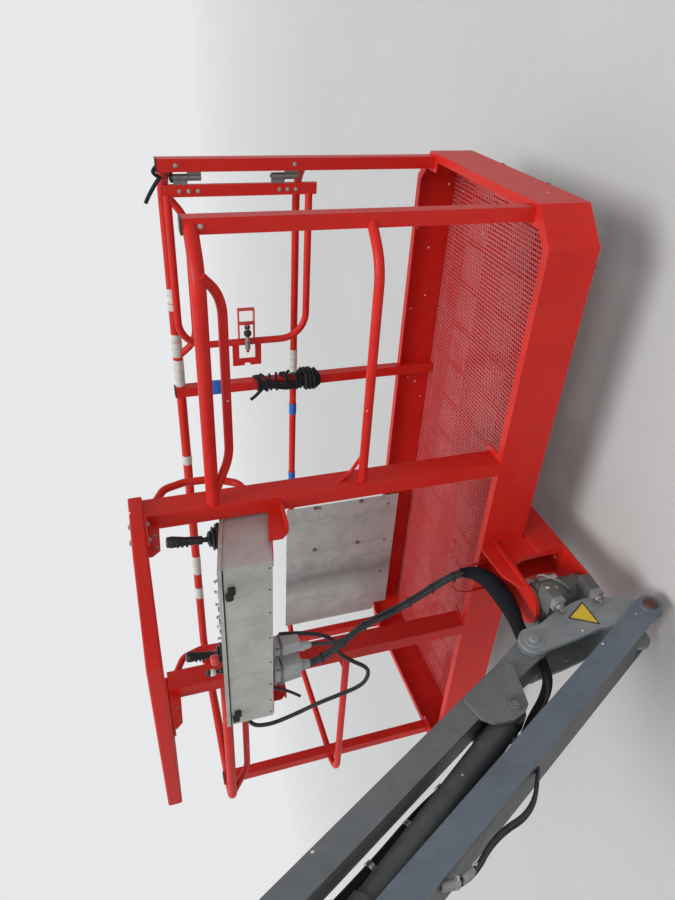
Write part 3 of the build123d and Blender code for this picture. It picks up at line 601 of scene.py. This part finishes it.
def cordCurve(name, points, radius, look, body, node=None):  # with no node, a cord that the solids leave out
    piece = routeCurve(name, points, radius)
    piece.data.materials.append(finish[look])
    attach(piece, body)
    if node:
        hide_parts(node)
    followRoute(points)


# a hose that runs across a joint, made as one mesh from its curve
def cordAcross(name, points, radius, look, node, swell=None):
    mesh = curveMesh(routeCurve(name + "Line", points, radius, swell))
    mesh.name = name
    mesh.shade_smooth()
    mesh.materials.append(finish[look])
    piece = newObject(name, mesh)
    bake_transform(piece)
    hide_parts(node)
    line = followRoute(points)


bundleRoute = [(-150, 185, 838), (-153, 172, 810), (-156, 140, 765), (-140, 120, 712), (-112, 105, 655),
               (-98, 98, 590), (-85, 85, 510), (-66, 62, 420), (-55, 39, 356), (-50, 22, 306), (-48, 12, 262),
               (-52, 11, 232)]
loopRoute = [(-170, 352, 1060), (-186, 396, 1055), (-196, 404, 988), (-198, 376, 900), (-200, 342, 820),
             (-201, 321, 740), (-198, 306, 668), (-191, 276, 640), (-182, 236, 640), (-170, 196, 700),
             (-152, 162, 744), (-128, 144, 740), (-104, 118, 775), (-92, 100, 850), (-88, 92, 900),
             (-85, 90, 930)]
secondRoute = [(-148, 94, 842), (-152, 100, 800), (-158, 98, 750), (-146, 104, 706), (-128, 102, 665),
               (-112, 96, 620), (-102, 94, 590)]
strands = {"radii": (6.2, 4.8, 6.4, 5.2, 3.4), "whole": 15, "spread": 9.8, "start": 0.6, "twist": 0.10,
           "wander": 0.2, "tieEvery": 88, "tieRadius": 16.2, "tieWidth": 5.5}


def cableBundle():  # several cables side by side, tied at intervals
    look = strands
    line = followRoute(bundleRoute)
    bm = bmesh.new()
    for strand, radius in enumerate(look["radii"]):
        points = []
        start = look["start"] + strand * 2 * math.pi / len(look["radii"])
        for index, (x, y, z) in enumerate(bundleRoute):
            angle = start + index * look["twist"] + random.uniform(-look["wander"], look["wander"])
            atEnd = index in (0, len(bundleRoute) - 1)
            reach = look["spread"] * (0.7 if atEnd else random.uniform(0.85, 1.15))
            points.append((x + reach * math.cos(angle), y + reach * math.sin(angle), z + 2 * math.sin(angle)))
        addTube(bm, points, radius, 4)
    ties = bmesh.new()
    gone = look["tieEvery"] / 2000
    for a, b in zip(line, line[1:]):
        gone += (b - a).length
        if gone > look["tieEvery"] / 1000:
            gone = 0
            x, y, z = (a + b) * 500 - at(0, 0, 0) * 1000
            addRound(ties, (x, y, z), b - a, look["tieRadius"], look["tieWidth"], 28, 1)
            addBox(ties, (x - 18, y + 4, z - 3), (x - 12, y + 10, z + 3), 1)
    tied = makePiece("bundleTies", ties, "blackPlastic", "platform", sharp=50)
    piece = makePiece("cableBundle", bm, "cableGrey", "platform", "cable_bundle", 50)


cordCurve("cableLoop", loopRoute, 7, "hoseBlack", "platform", "cable_loop")
cableBundle()
cordCurve("secondCable", secondRoute, 6.5, "cableGrey", "platform")

jibTilt = math.radians(-62.5)
jibLine = (math.cos(jibTilt), math.sin(jibTilt))
upperPin, lowerPin = (-443, 223), (-425, -212)


# a place by its distance along a beam from its pin, and off its middle
def besideJib(far, side, y, pin=upperPin):
    return (pin[0] - far * jibLine[0] - side * jibLine[1], y, pin[1] - far * jibLine[1] + side * jibLine[0])


sleeveRoute = [(-46, 12, 262), (-52, 12, 228), (-72, 11, 200), (-105, 10, 181), (-152, 8, 174),
               (-208, 6, 173), (-262, 5, 178), (-312, 4, 189), (-345, 3, 196), (-370, 3, 198), (-405, 2, 196)]
sleeveSwell = (0.58, 0.80, 1.02, 1.14, 1.22, 1.20, 1.06, 0.84, 0.86, 0.94, 0.84)
armRoute = [(-432, 1.5, 181), (-490.5, 1.5, 197.15), (-536, 1.5, 210.8), (-582, 14, 251), (-618, 41, 308),
            (-657, 58, 350), (-692, 63, 406), (-706, 63, 470), (-716, 64, 535)]
upTheJib = [(470, -67), (600, -57), (760, -63), (920, -61), (1073, -57), (1163, -57)]
armRoute += [besideJib(far, side, 64) for far, side in upTheJib]
cordAcross("cableSleeve", sleeveRoute, 27, "wrinkledCloth",
           "cable_sleeve", sleeveSwell)
cordAcross("armSleeve", armRoute, 15, "sleeveCloth",
           "arm_sleeve")

portRoute = [(-680, 0, 387), (-660, 0, 355), (-632, -8, 300), (-604, -17, 262), (-568, -20, 237),
             (-532, -13, 220), (-505, -2, 205)]
levelRoute = [(1135, -37, -48), (1098, -60, -50), (1040, -69, -50), (978, -59, -48), (915, -64, -46),
              (862, -79, -44), (808, -76, -44), (762, -56, -46), (728, -37, -48)]
levelSpots = [besideJib(far, side, y, lowerPin) for far, side, y in levelRoute]
cordCurve("portHose", portRoute, 5.5, "hoseBlack", "jib", "port_hose")
cordCurve("levelHose", levelSpots, 5.5, "hoseBlack", "level", "level_hose")
print("cords routed")


# floor of expanded metal: the pitch was measured on the photograph
meshSheet = {"pitchX": 12.7, "pitchY": 30.5, "strand": 3.6, "thick": 2.8, "low": 4.6, "lean": 1.2,
             "length": 2440.0, "width": 904.0, "edge": 7.0, "cornerX": 88.5, "cornerY": 99.0}


def everything(bm):
    return bm.verts[:] + bm.edges[:] + bm.faces[:]


def meshUnit(look):  # the strands of one diamond
    bm = bmesh.new()
    for flip in (1, -1):
        verts = bmesh.ops.create_cube(bm, size=1)["verts"]
        size = (look["strand"] / 1000, look["pitchY"] / 2000, look["thick"] / 1000)
        bmesh.ops.scale(bm, vec=size, verts=verts)
        ahead = [vert for vert in verts if vert.co.y * flip > 0]
        bmesh.ops.translate(bm, vec=(look["pitchX"] / 2000, 0, 0), verts=ahead)
        top = [vert for vert in verts if vert.co.z > 0]
        bmesh.ops.translate(bm, vec=(look["lean"] / 1000, 0, 0), verts=top)
        bmesh.ops.translate(bm, vec=(0, -flip * look["pitchY"] / 4000, 0), verts=verts)
    ends = [face for face in bm.faces if abs(face.normal.y) > 0.99]
    bmesh.ops.delete(bm, geom=ends, context="FACES_ONLY")
    bmesh.ops.remove_doubles(bm, verts=bm.verts, dist=0.00001)
    copy = bmesh.ops.duplicate(bm, geom=everything(bm))["geom"]
    verts = [item for item in copy if isinstance(item, bmesh.types.BMVert)]
    bmesh.ops.translate(bm, vec=(look["pitchX"] / 2000, look["pitchY"] / 2000, 0), verts=verts)
    unit = bpy.data.meshes.new("strands")
    bm.to_mesh(unit)
    bm.free()
    return unit


def expandedFloor():
    look = meshSheet
    sheet = newObject("strands", meshUnit(look))
    for axis, pitch, size in ((0, look["pitchX"], look["width"]), (1, look["pitchY"], look["length"])):
        rows = sheet.modifiers.new("rows", "ARRAY")
        rows.count = int(size / pitch) + 2
        rows.use_relative_offset = False
        rows.use_constant_offset = True
        rows.constant_offset_displace = [pitch / 1000 if index == axis else 0 for index in range(3)]
        rows.use_merge_vertices = axis == 1
        rows.merge_threshold = 0.00001
    bpy.context.view_layer.update()
    bm = bmesh.new()
    bm.from_mesh(bpy.data.meshes.new_from_object(sheet.evaluated_get(bpy.context.evaluated_depsgraph_get())))
    bpy.data.objects.remove(sheet)
    half, wide, edge = look["length"] / 2, look["width"], look["edge"]
    bmesh.ops.translate(bm, vec=at(0, -half, look["low"] + look["thick"] / 2), verts=bm.verts)
    cuts = [((edge, 0), (-1, 0)), ((wide - edge, 0), (1, 0))]
    cuts += [((0, -half + edge), (0, -1)), ((0, half - edge), (0, 1))]
    slope = math.hypot(look["cornerX"], look["cornerY"])
    for sx, x in ((-1, 0), (1, wide)):
        for sy in (-1, 1):
            nx, ny = sx * look["cornerY"] / slope, sy * look["cornerX"] / slope
            cuts.append(((x - sx * look["cornerX"] - nx * edge, sy * half - ny * edge), (nx, ny)))
    for (x, y), (nx, ny) in cuts:
        bmesh.ops.bisect_plane(bm, geom=everything(bm), dist=0.000001, plane_co=at(x, y, 6),
                               plane_no=(nx, ny, 0), clear_outer=True)
    piece = makePiece("floorStrands", bm, "litAndShadedMeshPaint", "platform", "floor_mesh")
    print("floor strands,", len(piece.data.polygons), "faces")


expandedFloor()


# controls on the lid
lidFace = {"high": 1130.0, "from": -200.0, "drop": 0.1909}
sticks = [
    {"spot": (-28, -320), "top": 1251.0, "lean": -0.12},
    {"spot": (-28, 190), "top": 1232.0, "lean": -0.14},
]
boot = [(0, 0), (41, 0), (43, 3), (42, 6), (32, 9), (31, 11), (36, 14), (36, 17), (24, 21), (22, 23),
        (26, 26), (17, 31), (8, 34), (7, 44), (0, 44)]
grip = [(12.6, 0.3), (13, 0.5), (15.2, 0.66), (17.2, 0.84), (17.4, 0.9), (15.8, 0.92), (16.2, 0.97), (13, 1),
        (0, 1)]
row = {"x": -60, "first": -180, "pitch": 52, "count": 6}
stop, keySwitch = (-118, 110), (-118, 168)


def lidTop(x):
    return lidFace["high"] - (x - lidFace["from"]) * lidFace["drop"]


def buildSticks():
    bm = bmesh.new()
    for look in sticks:
        (x, y), top, lean = look["spot"], look["top"], look["lean"]
        foot = lidTop(x)
        high = top - foot - 46
        addBox(bm, (x - 32, y - 32, foot - 4), (x + 32, y + 32, foot + 4), 1.5)
        lathe(bm, boot, (x, y, foot + 3), up)
        stem = [(0, -6), (7, -6), (7, 2), (12, 5), (13, 9)]
        lathe(bm, stem + [(radius, high * share) for radius, share in grip], (x, y, foot + 45), (0, lean, 1))
        for ridge in (top - 62, top - 49, top - 36):
            drift = y + lean * (ridge - foot - 45)
            addBox(bm, (x - 18.4, drift - 8, ridge), (x - 12, drift + 8, ridge + 7), 1.6)
    makePiece("joystickBoots", bm, "blackPlastic", "lid", "joysticks")


def buildButtons():
    bm = bmesh.new()
    x, y = stop
    foot = lidTop(x)
    addRound(bm, (x, y, foot + 5), up, 20, 12, 32, 1.5)
    addRound(bm, (x, y, foot + 16), up, 11, 14, 24)
    x, y = keySwitch
    addBox(bm, (x - 15, y - 15, foot - 2), (x + 15, y + 15, foot + 6), 1.5)
    lathe(bm, [(0, 0), (13, 0), (12, 6), (9, 12), (6, 16), (6, 26), (0, 26)], (x, y, foot + 5), up)
    addRound(bm, (x, y - 2, foot + 56), (0.15, -0.6, 0.9), 11, 10, 20, 2.5)
    x, z = row["x"], lidTop(row["x"])
    toggleSpots = [(x, row["first"] + row["pitch"] * step, z) for step in range(row["count"])]
    for x, y, z in toggleSpots:
        addRound(bm, (x, y, z + 2), up, 8, 6, 20, 1)
    makePiece("switchBases", bm, "blackPlastic", "lid", "switches")
    bm = bmesh.new()
    lathe(bm, [(0, 0), (15, 0), (18, 5), (18.5, 14), (17, 21), (12, 25), (0, 26.5)], (*stop, foot + 20), up)
    makePiece("stopButton", bm, "redPlastic", "lid")
    bm = bmesh.new()
    addBall(bm, (*keySwitch, foot + 42), 12)
    makePiece("switchBall", bm, "whitePlastic", "lid")
    bm = bmesh.new()
    for step, (x, y, z) in enumerate(toggleSpots):
        lean = (0.25 if step % 3 else -0.3, (0.5, -0.35, 0.1)[step % 3], 1)
        addRound(bm, (x, y, z + 6.5), up, 8.5, 5, 6, 0.5)
        addRound(bm, (x, y, z + 13), lean, 3.0, 13, 12, 0, 4.2)
        addBall(bm, (x + lean[0] * 6.5, y + lean[1] * 6.5, z + 19.5), 4.6)
    for y in (-332, -160, 40, 330):
        for x in (-188, 8):
            addBolt(bm, (x, y, lidTop(x) - 0.6), up, 4, 0.5)
    makePiece("toggles", bm, "steel", "lid")
    bm = bmesh.new()
    guards = [(-92, -150, 11, 13), (-96, -118, 7, 9), (-90, -62, 13, 8), (-94, -14, 8, 15), (-92, 34, 12, 9)]
    for x, y, wide, tall in guards:
        addBox(bm, (x - 8, y - wide, lidTop(x) - 2), (x + 8, y + wide, lidTop(x) + tall), 2)
    makePiece("switchGuards", bm, "whitePlastic", "lid")
    bm = bmesh.new()
    for x, y in ((-96, -92), (-94, -38), (-92, 12)):
        addRound(bm, (x, y, lidTop(x) + 5), up, 11, 14, 24, 2, 8)
    makePiece("switchKnobs", bm, "blackPlastic", "lid")


def buildLidLatches():
    bm = bmesh.new()
    for y in (300, -262):
        addBox(bm, (-213, y - 1, 1089), (-199.5, y + 24, 1112), 5)
        addBox(bm, (-211, y - 24, 1082), (-199.5, y + 5, 1105), 5)
        addRound(bm, (-211, y + 2, 1098), (0, 1, 0.3), 3.4, 40, 16, 1)
    makePiece("lidToggles", bm, "footRubber", "platform", "lid_latches")


# multi-pin plugs under the console: hood, clamp band, body and cable gland
plugs = [{"x": (-185, -118), "y": (133, 221), "foot": 874, "gland": (-150, 185), "round": 15},
         {"x": (-172, -120), "y": (46, 104), "foot": 878, "gland": (-148, 94), "round": 13}]
glandFoot = 838
strapRoute = [(-170, 240, 974), (-170, 256, 948), (-170, 284, 912), (-170, 322, 876)]


def buildPlugs():
    hood, band = bmesh.new(), bmesh.new()
    for look in plugs:
        (x0, x1), (y0, y1), foot, size = look["x"], look["y"], look["foot"], look["round"]
        addBox(hood, (x0 + 2, y0 + 2, 944), (x1 - 2, y1 - 2, 966), 2.5)
        addTaper(hood, (x0 + 3, y0 + 3, foot), (x1 - 3, y1 - 3, 940), 5, 3)
        addBox(band, (x0, y0, 938), (x1, y1, 946), 1.5)
        for y in (y0 + 9, y1 - 9):
            addBolt(band, (x0 + 1, y, 956), outward, 3.6, 0.6)
            addBox(band, (x0 - 2, y - 3.5, 936), (x0 + 2, y + 3.5, 950), 1.2)
        tall = foot + 4 - glandFoot
        lathe(hood, [(0, 0), (size * 0.62, 0), (size * 0.8, 3), (size, 9), (size, 22), (size * 1.15, 24),
                     (size * 1.15, tall), (0, tall)], (*look["gland"], glandFoot), up)
        addRound(hood, (*look["gland"], glandFoot + 28), up, size * 1.25, 9, 6, 1)
    makePiece("plugHoods", hood, "plugGrey", "platform", "console_plugs")
    makePiece("plugBands", band, "darkSteel", "platform")


def buildLidSeal():
    bm = bmesh.new()
    addTube(bm, [(-200.5, -350, 1115.5), (-200.5, 0, 1115.5), (-200.5, 350, 1115.5)], 1.6, 2)
    for y in (-350.5, 350.5):
        addTube(bm, [(-200, y, 1115.5), (-80, y, 1092.6), (30, y, 1071.6)], 1.6, 2)
    makePiece("lidSeal", bm, "blackPlastic", "platform", sharp=60)


def looseStrap():
    strap = routeCurve("looseStrap", strapRoute, 5)
    strap.data.materials.append(finish["hoseBlack"])
    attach(strap, "platform")


buildSticks()
buildButtons()
buildLidLatches()
buildPlugs()
buildLidSeal()
looseStrap()


# fasteners
def buildFasteners():
    bm = bmesh.new()
    for z in (668, 697, 725, 998, 1028, 1058):
        addBolt(bm, (778, -1108, z), outward, 4.4, 0.9)
        addBolt(bm, (794, -1108, z), (1, 0, 0), 5.2, 1.0)
    makePiece("gateBolts", bm, "steel", "gate")

    bm = bmesh.new()
    for x, z, size in ((766, 676, 4.4), (766, 1066, 4.4), (98, 1080, 4.2)):
        addBolt(bm, (x, -1190, z), outward, size, 0.9)
    for side in (-1, 1):
        for x in (-28, -96):
            addBolt(bm, (x, side * 410, 1340), up, 6.5, 0.9)
            addBolt(bm, (x, side * 410, 1294), (0, 0, -1), 6.5, 0.9)
        addBolt(bm, (138, side * 1190, 890), (1, 0, 0), 6, 0.8)
    makePiece("railBolts", bm, "steel", "platform")

    bm = bmesh.new()
    for y, z in ((376, 296), (376, 526), (644, 298), (644, 524)):
        addBolt(bm, (855, y, z), outward, 7.5, 0.9)
    for y, z in ((380, 505), (420, 150), (655, 150), (880, 150)):
        addBolt(bm, (855, y, z), outward, 4.5, 0.5)
    makePiece("panelBolts", bm, "darkSteel", "platform")

    bm = bmesh.new()
    for y in (-330, -246, -150, -40, 74, 180, 262, 325):
        addBolt(bm, (-200, y, 984), outward, 2.6, 0.4)
    for side in (-1, 1):
        for x in (-60, -110):
            addBolt(bm, (x, side * 390 - 1.5, 1278), (0, -1, 0), 4.5, 0.8)
    makePiece("consoleScrews", bm, "darkSteel", "platform")

    bm = bmesh.new()
    for side in (-1, 1):
        for z in (83, -62):
            addStud(bm, (-352, side * 92, z), outward, 13, 20)
    makePiece("rotatorBolts", bm, "steel", "knuckle", "rotator_nuts")


latch = {"x": 766, "z": 850, "rod": -581, "spring": -566, "coil": 5.2, "turns": 7}


def buildLatchBolt():
    x, z = latch["x"], latch["z"]
    bm = bmesh.new()
    addRound(bm, (x, latch["rod"], z), (0, 1, 0), 7.2, 98, 20, 1)
    for turn in range(latch["turns"]):
        addRound(bm, (x, latch["spring"] + turn * latch["coil"], z), (0.06, 1, 0.05), 10.2, 2.4, 24, 1)
    makePiece("latchBolt", bm, "steel", "gate")
    bm = bmesh.new()
    addBall(bm, (x - 4, -599, z), 14.6)
    addRound(bm, (x, -622, z), (0, 1, 0), 10.5, 12, 20, 2)
    makePiece("latchKnob", bm, "blackPlastic", "gate")


def addCaps(bm, profile, pin, y, steps):  # the same cap on both ends of a pin
    for side in (-1, 1):
        lathe(bm, profile, (pin[0], side * y, pin[1]), (0, side, 0), steps)


def buildPinCaps():
    bm = bmesh.new()
    for (x, z), reach in ((upperPin, 74), (lowerPin, 92)):
        addRound(bm, (x, 0, z), (0, 1, 0), 19, 2 * reach, 32)
    addCaps(bm, [(31, -1), (31, 2), (29.5, 3.2), (17, 3.2), (16, 4), (16, 9), (14, 11.5), (6, 12), (5, 10.5),
                 (0, 10.5)], upperPin, 75, 40)
    makePiece("knucklePins", bm, "knuckleGrey", "knuckle", "knuckle_pins")
    bm = bmesh.new()
    addCaps(bm, [(29, -1), (29, 2), (27.5, 3), (23.5, 3), (23.5, 1)], lowerPin, 90, 40)
    makePiece("pinRings", bm, "darkSteel", "knuckle")
    bm = bmesh.new()
    addCaps(bm, [(23.8, -1), (23.8, 5), (22, 8), (18, 9.5), (8, 10), (7, 8), (0, 8)], lowerPin, 90, 40)
    for side in (-1, 1):
        addBolt(bm, (-434, side * 99, -203), (0, side, 0), 3.6, 0.5)
    makePiece("rustyPin", bm, "rustySteel", "knuckle")
    bm = bmesh.new()
    bracket = (-619, 384)
    profile = [(20.6, -3), (20.6, 2), (19, 3), (15, 3), (14, 2), (13.5, 4), (11, 5), (0, 5)]
    addCaps(bm, profile, bracket, 69, 32)
    for side in (-1, 1):
        addBolt(bm, (bracket[0], side * 73, bracket[1]), (0, side, 0), 5, 0.8)
    makePiece("bracketBolts", bm, "darkSteel", "jib")


def buildTriangle():
    plates = (("plateEdge", "blackPlastic", 57, 0.8), ("warningPlate", "yellowPlate", 48, 1.6))
    for name, look, radius, out in plates:
        bm = bmesh.new()
        addRound(bm, (-394, -75 - out / 2, 14), (0, -1, 0), radius, out, 3)
        makePiece(name, bm, look, "knuckle", sharp=20)


buildLatchBolt()
buildFasteners()
buildPinCaps()
buildTriangle()


# caps on the posts, tape and ties on the rails
def buildBumpers():
    dome = [(16, -1), (17, 3), (17, 8), (14, 14), (9, 18), (5, 19.5), (4.5, 17), (0, 17)]
    rows = (("rubberBumpers", (27, 877), 1060, "rubber_feet"), ("endBumpers", (320, 600), 1203, None))
    for name, across, far, node in rows:
        bm = bmesh.new()
        for x in across:
            for y in (-far, far):
                lathe(bm, dome, (x, y, 0), (0, 0, -1))
        makePiece(name, bm, "footRubber", "platform", node)


def buildCaps():
    bm = bmesh.new()
    for x, y in ((118, -1190), (786, -1190), (118, 1190), (786, 1190), (879, -320)):
        addBox(bm, (x - 20.5, y - 20.5, 1123), (x + 20.5, y + 20.5, 1128), 1.5)
    makePiece("postCaps", bm, "blackPlastic", "platform")


railX, farPost, gatePost = 884, (879, -320), (786, -1150)
tapes = {  # along the far rails: from, to, height, radius
    "whiteTape": [(575, 685, 1103, 19.8), (778, 847, 1103, 19.8), (-6, 36, 1103, 19.8),
                  (-459, -345, 1103, 19.8), (-566, -474, 1103, 19.8), (-746, -662, 1103, 19.8),
                  (-457, -349, 640, 14.9)],
    "blueTape": [(158, 238, 640, 15.6), (-203, -153, 640, 15.6)],
}


def buildTapes():
    for name, wraps in tapes.items():
        bm = bmesh.new()
        for start, end, z, radius in wraps:
            turns = max(2, int((end - start) / 24))
            wide = (end - start) / turns
            for turn in range(turns):
                lean = (random.uniform(-0.04, 0.04), 1, random.uniform(-0.04, 0.04))
                addRound(bm, (railX, start + wide * (turn + 0.5), z), lean, radius + random.uniform(0.0, 0.7),
                         wide * random.uniform(0.92, 1.12), 28, 0.5)
        if name == "blueTape":
            addBox(bm, (858, -341.5, 944), (900.5, -298.5, 982), 1.2)
        makePiece(name, bm, name, "platform")


def ropeRound(bm, x, y, low, turns, pitch, half, radius, lean):
    points = []
    for step in range(turns * 8 + 1):
        angle = step * math.pi / 4
        reach = half * (1.0 if step % 2 == 0 else 1.26)
        points.append((x + reach * math.cos(angle), y + reach * math.sin(angle),
                       low + pitch * step / 8 + lean * math.cos(angle)))
    addTube(bm, points, radius, 2)


coils = [  # rope round the far post: height, turns, pitch, distance off the post, lean, radius
    (532, 6, 12.5, 0, 3, 6.5), (537, 4, 15, 8, -5, 6.0), (556, 3, 16, 13, 6, 6.3), (604, 2, 13, 5, -9, 6.3),
    (636, 1, 16, 8, 12, 6.3), (664, 2, 12, 3, 7, 6.3), (704, 1, 14, 5, -12, 5.4), (730, 1, 15, 2, -8, 5.4),
    (758, 1, 15, 5, 10, 5.4), (780, 2, 11, 1, 6, 5.4)]
ropeEnd = [(-27, 8, 770), (-36, 20, 790), (-40, 40, 812), (-40, 52, 830)]
tieEnds = [
    [(2, -4, 1112), (-2, 10, 1126), (-2, 30, 1140), (0, 58, 1158), (0, 78, 1168)],
    [(2, 2, 1112), (-2, -10, 1134), (-2, -26, 1136), (2, -38, 1118)],
]


def buildRope():
    bm = bmesh.new()
    x, y = farPost
    for low, turns, pitch, off, lean, radius in coils:
        ropeRound(bm, x, y, low, turns, pitch, 26.5 + off, radius, lean)
    for drift in (0, 1, 2):
        addTube(bm, [(x - 27, y + 10 - drift * 9, 605), (x - 33 - drift * 3, y + 26 - drift * 12, 660),
                     (x - 30, y + 14 - drift * 13, 715), (x - 27, y + 4 - drift * 8, 780)], 6.0, 2)
    addTube(bm, [(x + dx, y + dy, z) for dx, dy, z in ropeEnd], 6.5, 2)
    makePiece("postRope", bm, "sleeveCloth", "platform", sharp=50)


def buildTie():
    bm = bmesh.new()
    x, y = gatePost
    ropeRound(bm, x + 30, y - 8, 1076, 1, 10, 25, 5.5, 2)
    for end in tieEnds:
        addTube(bm, [(x + dx, y + dy, z) for dx, dy, z in end], 6.5, 2)
    makePiece("railTie", bm, "sleeveCloth", "platform", sharp=50)


hoopLine = [(168, 112), (171, 165), (166, 205), (150, 238), (118, 254), (82, 254), (50, 236), (32, 205),
            (28, 165), (28, 120)]


def buildHoop():
    bm = bmesh.new()
    addTube(bm, [(-4, y, z) for y, z in hoopLine], 3.6, 4)
    makePiece("hoopWire", bm, "redPaint", "platform", "cable_hoop", 60)


buildHoop()
buildBumpers()
buildCaps()
buildTapes()
buildRope()
buildTie()


# jib fittings: hose clamps, hose joints and tags, and the rotator's marks, port fittings and bolts
def buildHoseClamps():
    bm = bmesh.new()
    for far in (505, 640, 780, 905, 1020, 1120):
        x, y, z = besideJib(far, -60 if far < 1000 else -57, 64)
        addRound(bm, (x, y, z), (jibLine[0], 0, jibLine[1]), 17, 16, 28, 1)
        addBox(bm, (x - 8, 50, z - 9), (x + 8, 58, z + 9), 1)
    makePiece("hoseClamps", bm, "zinc", "jib")


def buildConnectors():
    bm = bmesh.new()
    spots = [Vector(spot) for spot in levelSpots]
    for drift in (-8, 8):
        for first, share, long, radius in ((0, 0.35, 30, 8.5), (0, 0.85, 14, 10), (1, 0.45, 34, 8.5)):
            a, b = spots[first], spots[first + 1]
            place = a + (b - a) * share + Vector((0, drift, 0))
            addRound(bm, place, b - a, radius, long, 8 if radius > 9 else 20, 1)
    makePiece("hoseJoints", bm, "greyWrap", "level")
    bm = bmesh.new()
    for place, turn in ((spots[1] + Vector((4, -16, 6)), 0.5), (spots[2] + Vector((2, -15, 8)), -0.3)):
        addRound(bm, place, (0.3, -1, turn), 7, 1.2, 4)
    makePiece("hoseTags", bm, "whiteTape", "level")


def buildActuatorParts():
    bm = bmesh.new()
    addBox(bm, (-292, -109.2, 82), (-283, -107.6, 93), 0.3)
    addBox(bm, (-262, -62.6, 17), (-250, -60.0, 23), 0.3)
    makePiece("blankMarks", bm, "whiteTape", "knuckle")
    bm = bmesh.new()
    addRound(bm, (-190, -34, 50), (0.6, -1, 0), 9, 16, 6, 0.8)
    addRound(bm, (-279, -62, -16), (-0.5, -0.6, -0.3), 8, 14, 6, 0.8)
    for z in (-80, 76):
        for turn in range(6):
            angle = math.radians(195 + turn * 30)
            x, y = math.cos(angle), math.sin(angle)
            addBolt(bm, (-245 + 61.5 * x, 61.5 * y, z), (x, y, 0), 5, 0.7)
    makePiece("actuatorBolts", bm, "darkSteel", "knuckle")


buildHoseClamps()
buildConnectors()
buildActuatorParts()
drainRoute = [(-189, -38, 50), (-186, -56, 52), (-198, -70, 40), (-234, -77, 14), (-264, -72, -8),
              (-279, -62, -16)]
cordCurve("drainHose", drainRoute, 3.6, "hoseLight", "knuckle")
twinRoute = [besideJib(far, side - 3, y + 15, lowerPin) for far, side, y in levelRoute]
cordCurve("levelTwin", twinRoute, 5.5, "hoseBlack", "level")
print("details added")


# studio
room = {"centre": (400, 0, -300.0), "wide": 30.0, "fade": (3.0, 11.0), "floor": (0.50, 0.50, 0.49),
        "sun": 1.9, "backdrop": (0.80, 0.81, 0.82), "low": (0.22, 0.23, 0.24), "high": (0.72, 0.74, 0.76),
        "fill": 14.0, "fillSize": 2.6, "sunAngle": 24, "sunWay": (0.30, 0.22, -1.0),
        "fillSpot": (-2600, -2200, 1500)}


def buildFloor():
    centre = at(*room["centre"])
    bm = bmesh.new()
    bmesh.ops.create_circle(bm, cap_ends=True, segments=96, radius=room["wide"])
    bmesh.ops.translate(bm, vec=centre, verts=bm.verts)
    mesh = bpy.data.meshes.new("floor")
    bm.to_mesh(mesh)
    bm.free()
    newObject("floor", mesh)
    material, shader, place = startMaterial("paleFloor")
    drift = layer("mottle", place, Scale=1.3)
    away = vectors("DISTANCE", place, centre, "Value")
    colour = blendColour(drift, room["floor"], [tone * 0.95 for tone in room["floor"]])
    setInputs(shader, {"Base Color": colour, "Roughness": 0.7,
                       "Alpha": spread(away, *room["fade"], 1.0, 0.0)})
    mesh.materials.append(material)


def buildWorld():
    world = bpy.data.worlds.new("studio")
    bpy.context.scene.world = world
    world.use_nodes = True
    tree = world.node_tree
    tree.nodes.clear()
    rays = tree.nodes.new("ShaderNodeLightPath").outputs
    seen = sums("MAXIMUM", rays["Is Camera Ray"], rays["Is Glossy Ray"])
    seen = sums("MAXIMUM", seen, rays["Is Transmission Ray"])
    height = along(coords(tree, "Generated"), "Z")
    lit = blendColour(spread(height, -0.1, 0.9), room["low"], room["high"])
    colour = blendColour(seen, lit, room["backdrop"])
    back = joinNode("ShaderNodeBackground", {"Color": colour, "Strength": 1.0})[0]
    addNode(tree, "ShaderNodeOutputWorld", {"Surface": back})


def addLights():
    sun = newObject("sun", bpy.data.lights.new("sun", "SUN"))
    sun.data.energy = room["sun"]
    sun.data.angle = math.radians(room["sunAngle"])
    sun.rotation_euler = Vector(room["sunWay"]).to_track_quat("-Z", "Y").to_euler()
    fill = newObject("fill", bpy.data.lights.new("fill", "AREA"))
    fill.data.size = room["fillSize"]
    fill.data.energy = room["fill"]
    fill.location = at(*room["fillSpot"])
    fill.rotation_euler = (at(300, 0, 300) - fill.location).to_track_quat("-Z", "Y").to_euler()


buildFloor()
buildWorld()
addLights()
bpy.context.scene.view_settings.view_transform = "Standard"
print("studio lit")
